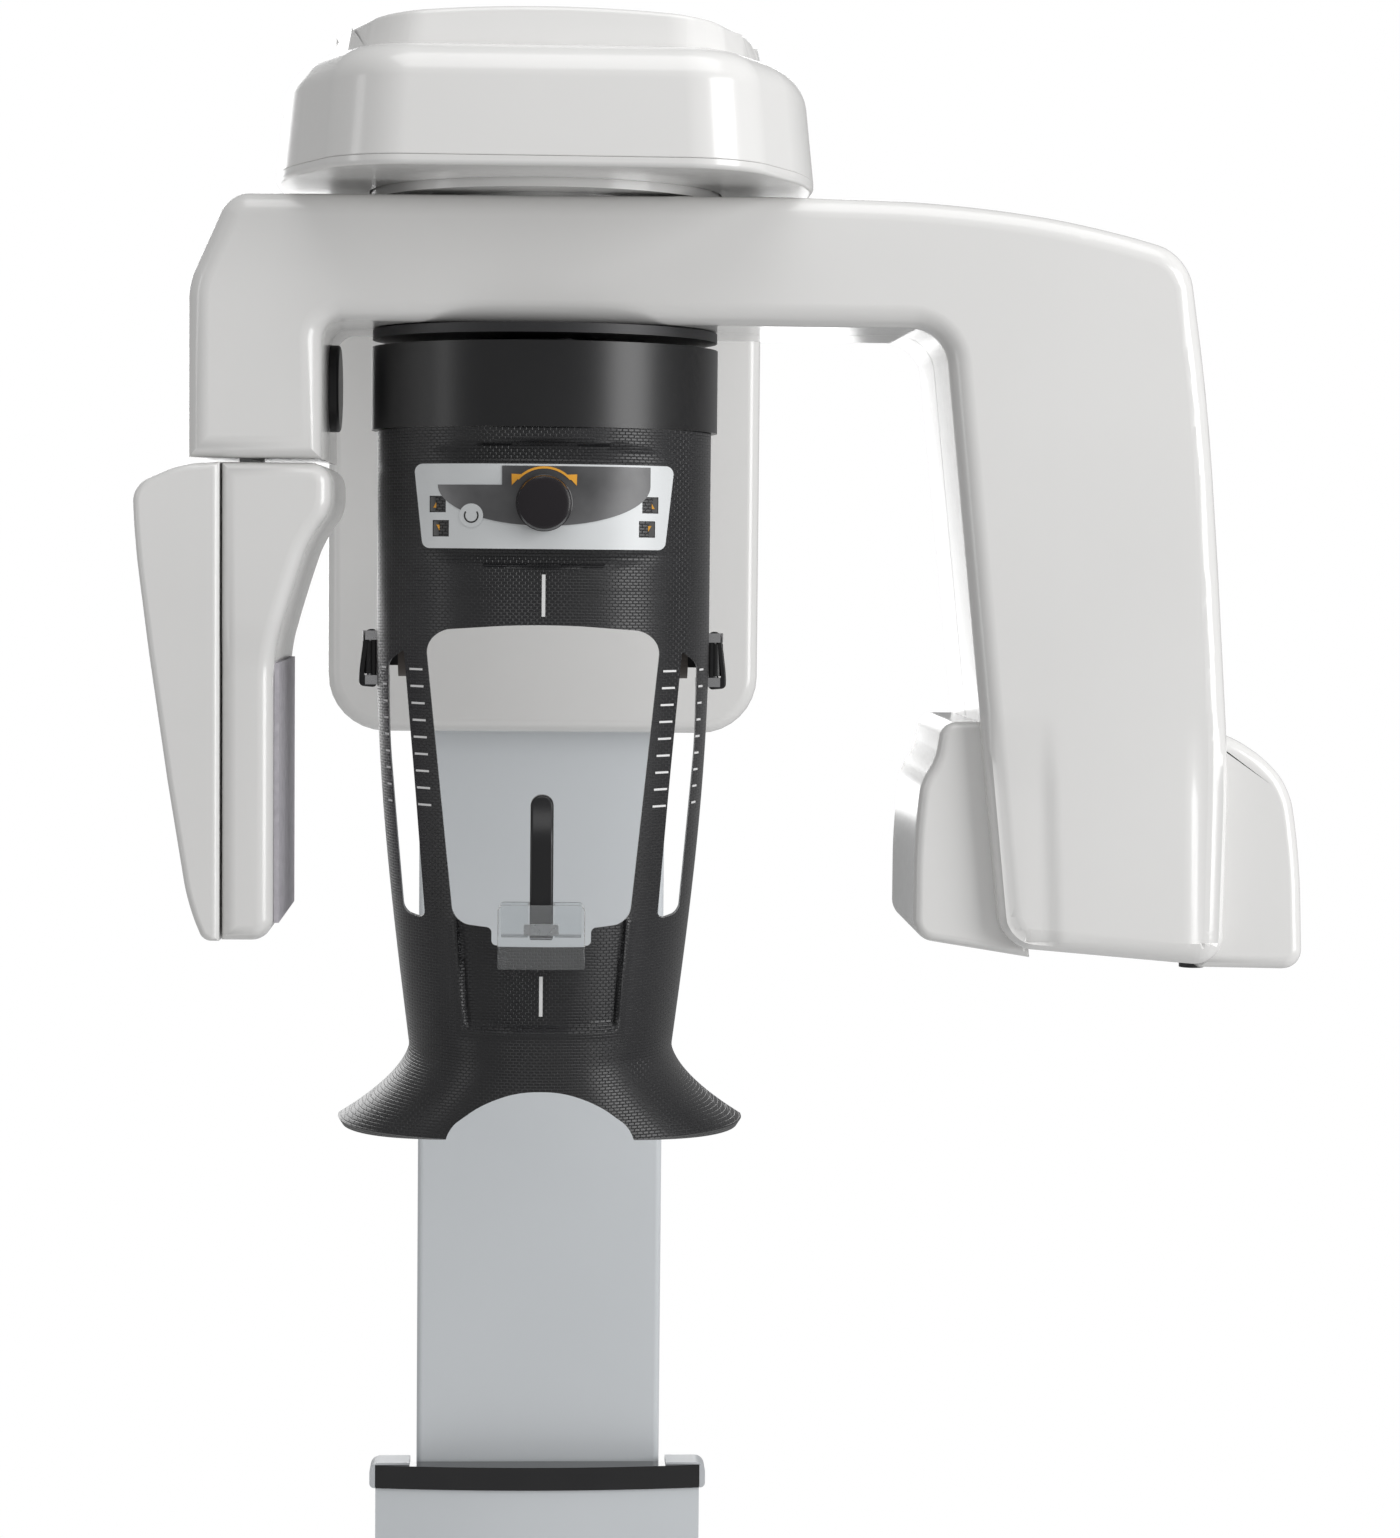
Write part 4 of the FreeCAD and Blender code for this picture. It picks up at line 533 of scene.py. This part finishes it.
shell.modifiers.move(len(shell.modifiers) - 1, 0)

# Marks on the frame.  Thin white lines printed on the middle and up the side bars, which the
# operator uses to line up the patient.
mark_white = finish("mark_white_ink", (0.72, 0.72, 0.72), (0.82, 0.82, 0.82), 0.5, 900.0, 0.00002)
INK = 0.0004


def printed(name, outlines, ink, lift, body="lift", slot="label_silver", pressed=True):
    """Flat shapes, each a list of (x, z) in millimetres, laid on the frame's face and given a skin."""
    bm = bmesh.new()
    for outline in outlines:
        patch = bmesh.new()
        patch.faces.new([patch.verts.new((x * MM, 0.0, z * MM)) for x, z in outline])
        low_x, high_x = min(p[0] for p in outline), max(p[0] for p in outline)
        if high_x - low_x > 6:
            steps = int((high_x - low_x) / 3)
            cut_grid(patch, xs=[(low_x + (high_x - low_x) * k / steps) * MM for k in range(1, steps)])
        for v in patch.verts:
            sunk = frame_relief(v.co.x, v.co.z) if pressed else 0.0
            v.co.y = frame_front(v.co.x, v.co.z) + sunk - lift
        if sum(f.normal.y * f.calc_area() for f in patch.faces) > 0:
            bmesh.ops.reverse_faces(patch, faces=patch.faces[:])
        made = bmesh.ops.extrude_face_region(patch, geom=patch.faces[:])
        skin = [part for part in made["geom"] if isinstance(part, bmesh.types.BMVert)]
        bmesh.ops.translate(patch, vec=(0, -INK, 0), verts=skin)
        bmesh.ops.recalc_face_normals(patch, faces=patch.faces[:])
        patch_mesh = bpy.data.meshes.new("patch")
        patch.to_mesh(patch_mesh)
        patch.free()
        bm.from_mesh(patch_mesh)
        bpy.data.meshes.remove(patch_mesh)
    return piece(name, bm, ink, body, slot)


def strip(x, z, wide, tall):
    return [(x - wide / 2, z - tall / 2), (x + wide / 2, z - tall / 2), (x + wide / 2, z + tall / 2),
            (x - wide / 2, z + tall / 2)]


TICKS, TICK_PITCH, TICK_TALL = 9, 10.6, 1.3
ticks = []
for side in (-1, 1):
    for step in range(TICKS):
        height = 1757 - step * TICK_PITCH
        ticks.append(strip(side * (79.5 - step * 0.75), height, 8.5, TICK_TALL))
        ticks.append(strip(side * (101.0 - step * 0.55), height, 3.0, TICK_TALL))
printed("frame_marks", [strip(0, 1804, 2.2, 26), strip(0, 1554.5, 2.2, 25)] + ticks, mark_white, 0.0001)

# Control label.  A silver film with a smoked half-moon, a blank tag, an arrow over the knob and a
# ring sign, behind a thin black edge; the four keys and the knob come through it.
label_silver = finish("label_silver_film", (0.66, 0.68, 0.69), (0.74, 0.76, 0.77), 0.35, 900.0, 0.00002)
key_rubber = finish("key_dark_grey", (0.09, 0.09, 0.09), (0.12, 0.12, 0.12), 0.5, 1200.0, 0.00004)
smoke_ink = finish("smoked_half_moon", (0.05, 0.05, 0.052), (0.2, 0.2, 0.205), 0.3, 900.0, 0.00001,
                   patch=14.0)
arrow_orange = finish("arrow_orange_ink", (0.80, 0.36, 0.03), (0.9, 0.44, 0.05), 0.4, 900.0, 0.00001)
edge_black = finish("label_black_edge", (0.01, 0.01, 0.01), (0.016, 0.016, 0.016), 0.4, 900.0, 0.00001)
label_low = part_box("control_label")[0]
FILM = frame_front(0.0, 1.86) - label_low.y
coat_nodes(label_silver, "control_label")
coat_nodes(key_rubber, "key_left_up", "key_left_down", "key_right_up", "key_right_down")


def arc_points(centre, radius, start, end, steps):
    return [(centre[0] + radius * math.cos(math.radians(start + (end - start) * k / steps)),
             centre[1] + radius * math.sin(math.radians(start + (end - start) * k / steps)))
            for k in range(steps + 1)]


MOON_HALF, MOON_TOP, MOON_DEEP = 66.0, 1872.0, 25.0
moon_turns = [math.pi * (1 + k / 40) for k in range(41)]
moon = [(MOON_HALF * math.cos(turn), MOON_TOP + MOON_DEEP * math.sin(turn)) for turn in moon_turns]
moon += [(MOON_HALF, 1883.8), (-26.0, 1883.8), (-26.0, 1872.0)]
printed("label_half_moon", [moon], smoke_ink, FILM + 0.0001, pressed=False)
KNOB_AT, SIGN_AT = (0.0, 1861.0), (-45, 1853)
ring_sign = arc_points(SIGN_AT, 4.6, -215, 35, 24) + arc_points(SIGN_AT, 3.7, 35, -215, 24)
printed("label_ring_sign", [ring_sign], edge_black, FILM + 0.0003, pressed=False)
sign_ground = arc_points(SIGN_AT, 7.4, 0, 350, 34)
printed("label_ring_ground", [sign_ground], label_silver, FILM + 0.00015, pressed=False)
arrow = arc_points(KNOB_AT, 22.6, 138, 42, 20) + arc_points(KNOB_AT, 21.2, 42, 138, 20)
heads = [[(side * 13.5, 1878.5), (side * 20.0, 1871.8), (side * 20.2, 1878.8)] for side in (-1, 1)]
printed("label_arrow", [arrow] + [h if h[0][0] > 0 else h[::-1] for h in heads], arrow_orange,
        FILM + 0.0004, pressed=False)
for side, up in ((-1, 1), (-1, -1), (1, 1), (1, -1)):
    name = "key_%s_%s" % ("left" if side < 0 else "right", "up" if up > 0 else "down")
    key_low, key_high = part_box(name)
    middle = (key_low + key_high) / 2 / MM
    sign = [(middle.x - 2.8, middle.z - 2.2 * up, 0), (middle.x + 2.8, middle.z - 2.2 * up, 0),
            (middle.x, middle.z + 2.8 * up, 0)]
    piece(name + "_arrow", moulding(sign, key_low.y - INK, key_low.y + INK / 4, 0.0, 0.0), arrow_orange,
          name, "key_grey")

# Knob.  A turned black knob with a domed cap and a slightly lighter ring at its foot, on a short
# shaft through the label; it opens and closes the temple supports.
knob_low, knob_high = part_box("temple_knob")
knob_radius = (knob_high.x - knob_low.x) / 2
KNOB_LONG = 0.013
knob_bm = bmesh.new()
profile = [(0.0, 0.0), (knob_radius - 0.0045, 0.0003), (knob_radius - 0.0016, 0.0016),
           (knob_radius - 0.0006, 0.0045), (knob_radius - 0.0004, KNOB_LONG - 0.003),
           (knob_radius, KNOB_LONG - 0.0028), (knob_radius, KNOB_LONG), (0.0, KNOB_LONG)]
line = [knob_bm.verts.new((x, knob_low.y + y, KNOB_AT[1] * MM)) for x, y in profile]
edges = [knob_bm.edges.new(pair) for pair in zip(line, line[1:])]
bmesh.ops.spin(knob_bm, geom=line + edges, cent=(0, 0, KNOB_AT[1] * MM), axis=(0, 1, 0),
               angle=2 * math.pi, steps=72, use_merge=True)
bmesh.ops.remove_doubles(knob_bm, verts=knob_bm.verts[:], dist=1e-6)
bmesh.ops.recalc_face_normals(knob_bm, faces=knob_bm.faces[:])
knob_black = finish("knob_black_gloss", (0.008, 0.006, 0.008), (0.014, 0.011, 0.014), 0.22, 600.0, 0.00002)
piece("knob_cap", knob_bm, knob_black, "knob", "black_smooth", "temple_knob")

# Bite parts and temple supports.  A clear moulded holder sits on the chin shelf round a black stick
# with a rounded tip, held by a plated clip; brown-grey rubber pads reach in from black loops hinged
# on steel pins.
stick_low, stick_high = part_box("bite_stick")
stick_left, stick_right = stick_low.x / MM, stick_high.x / MM
stick_foot, stick_tip = stick_low.z / MM, stick_high.z / MM
stick_outline = [(stick_left, stick_foot, 0), (stick_right, stick_foot, 0), (stick_right, stick_tip, 6.6),
                 (stick_left, stick_tip, 6.6)]
stick_bm = moulding(stick_outline, stick_low.y, stick_low.y + 0.010, 0.002, 0.002)
cut_grid(stick_bm, zs=[(stick_tip - 2.0 * k) * MM for k in range(1, 18)])
for v in stick_bm.verts:
    v.co.y += 0.0115 * ease(v.co.z, stick_high.z - 0.030, stick_high.z)
piece("bite_stick_rod", stick_bm, collar_satin, "bite", "black_smooth", "bite_stick")
pad_rubber = finish("pad_rubber_brown_grey", (0.11, 0.095, 0.085), (0.15, 0.13, 0.12), 0.6, 900.0, 0.0001)
clear = finish("clear_moulding", (0.9, 0.92, 0.93), (0.95, 0.97, 0.98), 0.05, 20.0, 0.000001)
clear.node_tree.nodes["Principled BSDF"].inputs["Transmission Weight"].default_value = 0.92
clear.node_tree.nodes["Principled BSDF"].inputs["IOR"].default_value = 1.49
coat_nodes(bright_steel, "temple_pins")
HOLDER_WALL, HOLDER_RIB, HOLDER_RIM, STICK_ROOM, OVERSHOOT = 0.0022, 0.0016, 0.0008, 0.0012, 0.002
holder_low, holder_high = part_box("bite_holder")
holder_left, holder_right = holder_low.x / MM, holder_high.x / MM
holder_foot, holder_head = holder_low.z / MM, holder_high.z / MM
holder_outline = [(holder_left, holder_foot, 2), (holder_right, holder_foot, 2),
                  (holder_right, holder_head, 4), (holder_left, holder_head, 4)]
holder = piece("bite_holder_clear",
               moulding(holder_outline, holder_low.y, holder_high.y, HOLDER_RIM, HOLDER_RIM), clear, "bite",
               "clear_plastic", "bite_holder")
stick_gap, pocket_top = (stick_high.x - stick_low.x) / 2 + STICK_ROOM, holder_high.z + OVERSHOOT
pocket_foot = (holder_low.z + holder_high.z) / 2
for side in (-1, 1):
    pocket_left, pocket_right = sorted((side * stick_gap, side * (holder_high.x - HOLDER_WALL)))
    carve(holder, bar((pocket_left, holder_low.y + HOLDER_WALL, pocket_foot),
                      (pocket_right, holder_high.y - HOLDER_WALL, pocket_top)))
carve(holder, bar((HOLDER_RIB - stick_gap, holder_low.y + HOLDER_WALL, stick_low.z - 0.0005),
                  (stick_gap - HOLDER_RIB, holder_high.y + 0.01, pocket_top)))
CLIP_HALF, CLIP_FOOT, CLIP_HEAD, CLIP_RIM = 11.0, 1594.0, 1601.0, 0.0004
clip_outline = [(-CLIP_HALF, CLIP_FOOT, 1), (CLIP_HALF, CLIP_FOOT, 1), (CLIP_HALF, CLIP_HEAD, 1),
                (-CLIP_HALF, CLIP_HEAD, 1)]
piece("bite_clip", moulding(clip_outline, stick_low.y - 0.0028, stick_low.y - 0.0003, CLIP_RIM, CLIP_RIM),
      bright_steel, "bite", "steel")
LOOP_RIM, LOOP_DEEP, LOOP_IN, LOOP_OUT, LOOP_FOOT, LOOP_HEAD = 0.0012, 0.006, 108, 119.5, 1742, 1780
for name, side in (("left", -1), ("right", 1)):
    arm_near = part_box("temple_arm_" + name)[0].y
    ring = [(side * LOOP_IN, LOOP_HEAD, 3), (side * (LOOP_OUT - 3.5), LOOP_HEAD, 4),
            (side * LOOP_OUT, 1752, 5), (side * LOOP_OUT, LOOP_FOOT + 1, 3), (side * LOOP_IN, LOOP_FOOT, 3)]
    hole = [(side * (LOOP_IN + 3), LOOP_HEAD - 3.5, 0.9), (side * 113.4, LOOP_HEAD - 3.5, 0.9),
            (side * 116.2, 1753, 2), (side * 116.2, LOOP_FOOT + 7, 1),
            (side * (LOOP_IN + 3), LOOP_FOOT + 7, 1)]
    loop = piece("temple_loop_" + name, moulding(ring, arm_near, arm_near + LOOP_DEEP, LOOP_RIM, LOOP_RIM),
                 collar_satin, "temple_" + name, "black_smooth")
    carve(loop, moulding(hole, arm_near - 0.01, arm_near + LOOP_DEEP + 0.01, 0.0, 0.0))
coat_nodes(pad_rubber, "temple_pad_left", "temple_pad_right")

# Studio: a pale floor, soft panels of light at both sides, above and behind, a bright surround, and
# the camera.
floor_bm = bmesh.new()
bmesh.ops.create_circle(floor_bm, cap_ends=True, segments=96, radius=3.2)
bmesh.ops.translate(floor_bm, vec=(0, 0.3, cad_bounds[0][2] - 0.0005), verts=floor_bm.verts[:])
floor_mesh = bpy.data.meshes.new("floor")
floor_bm.to_mesh(floor_mesh)
floor_bm.free()
floor = bpy.data.objects.new("floor", floor_mesh)
bpy.context.scene.collection.objects.link(floor)
floor_mesh.materials.append(finish("floor_pale", (0.8, 0.8, 0.8), (0.86, 0.86, 0.86), 0.7, 60.0, 0.0002))


def light_panel(name, place, aim, size, power):
    lamp = bpy.data.lights.new(name, "AREA")
    lamp.shape, lamp.size, lamp.size_y, lamp.energy = "RECTANGLE", size[0], size[1], power
    made = bpy.data.objects.new(name, lamp)
    made.location = place
    made.rotation_euler = (Vector(aim) - Vector(place)).to_track_quat("-Z", "Y").to_euler()
    bpy.context.scene.collection.objects.link(made)


light_panel("panel_right", (2.4, -1.6, 2.3), (0.1, 0, 1.8), (1.4, 2.2), 52.0)
light_panel("panel_left", (-2.6, -1.0, 2.0), (-0.1, 0, 1.8), (0.5, 2.2), 7.0)
light_panel("panel_top", (0.3, -0.6, 3.6), (0, 0.2, 1.9), (2.0, 1.4), 17.0)
light_panel("panel_back", (-0.6, 3.4, 2.4), (0, 0.3, 1.4), (2.4, 2.0), 34.0)
world = bpy.data.worlds.new("bright_surround")
bpy.context.scene.world = world
world.use_nodes = True
sky_nodes, sky_links = world.node_tree.nodes, world.node_tree.links
backdrop = sky_nodes["Background"]
backdrop.inputs["Color"].default_value = (1.0, 1.0, 1.0, 1.0)
backdrop.inputs["Strength"].default_value = 1.0
ambient = sky_nodes.new("ShaderNodeBackground")
ambient.inputs["Strength"].default_value = 0.42
seen = sky_nodes.new("ShaderNodeLightPath")
choose = sky_nodes.new("ShaderNodeMixShader")
sky_links.new(seen.outputs["Is Camera Ray"], choose.inputs["Fac"])
sky_links.new(ambient.outputs["Background"], choose.inputs[1])
sky_links.new(backdrop.outputs["Background"], choose.inputs[2])
sky_links.new(choose.outputs["Shader"], sky_nodes["World Output"].inputs["Surface"])

CAMERA_PLACE = (0.0, -2.275, 1.83)
CAMERA_PITCH, CAMERA_ROLL, CAMERA_YAW = 86.5, -0.55, -2.55
lens = bpy.data.cameras.new("camera")
lens.sensor_fit = "VERTICAL"
lens.sensor_height = 36.0
lens.lens = 81.92
camera = bpy.data.objects.new("camera", lens)
camera.location = CAMERA_PLACE
camera.rotation_euler = (math.radians(CAMERA_PITCH), math.radians(CAMERA_ROLL), math.radians(CAMERA_YAW))
bpy.context.scene.collection.objects.link(camera)
bpy.context.scene.camera = camera
bpy.context.scene.view_settings.view_transform = "Standard"
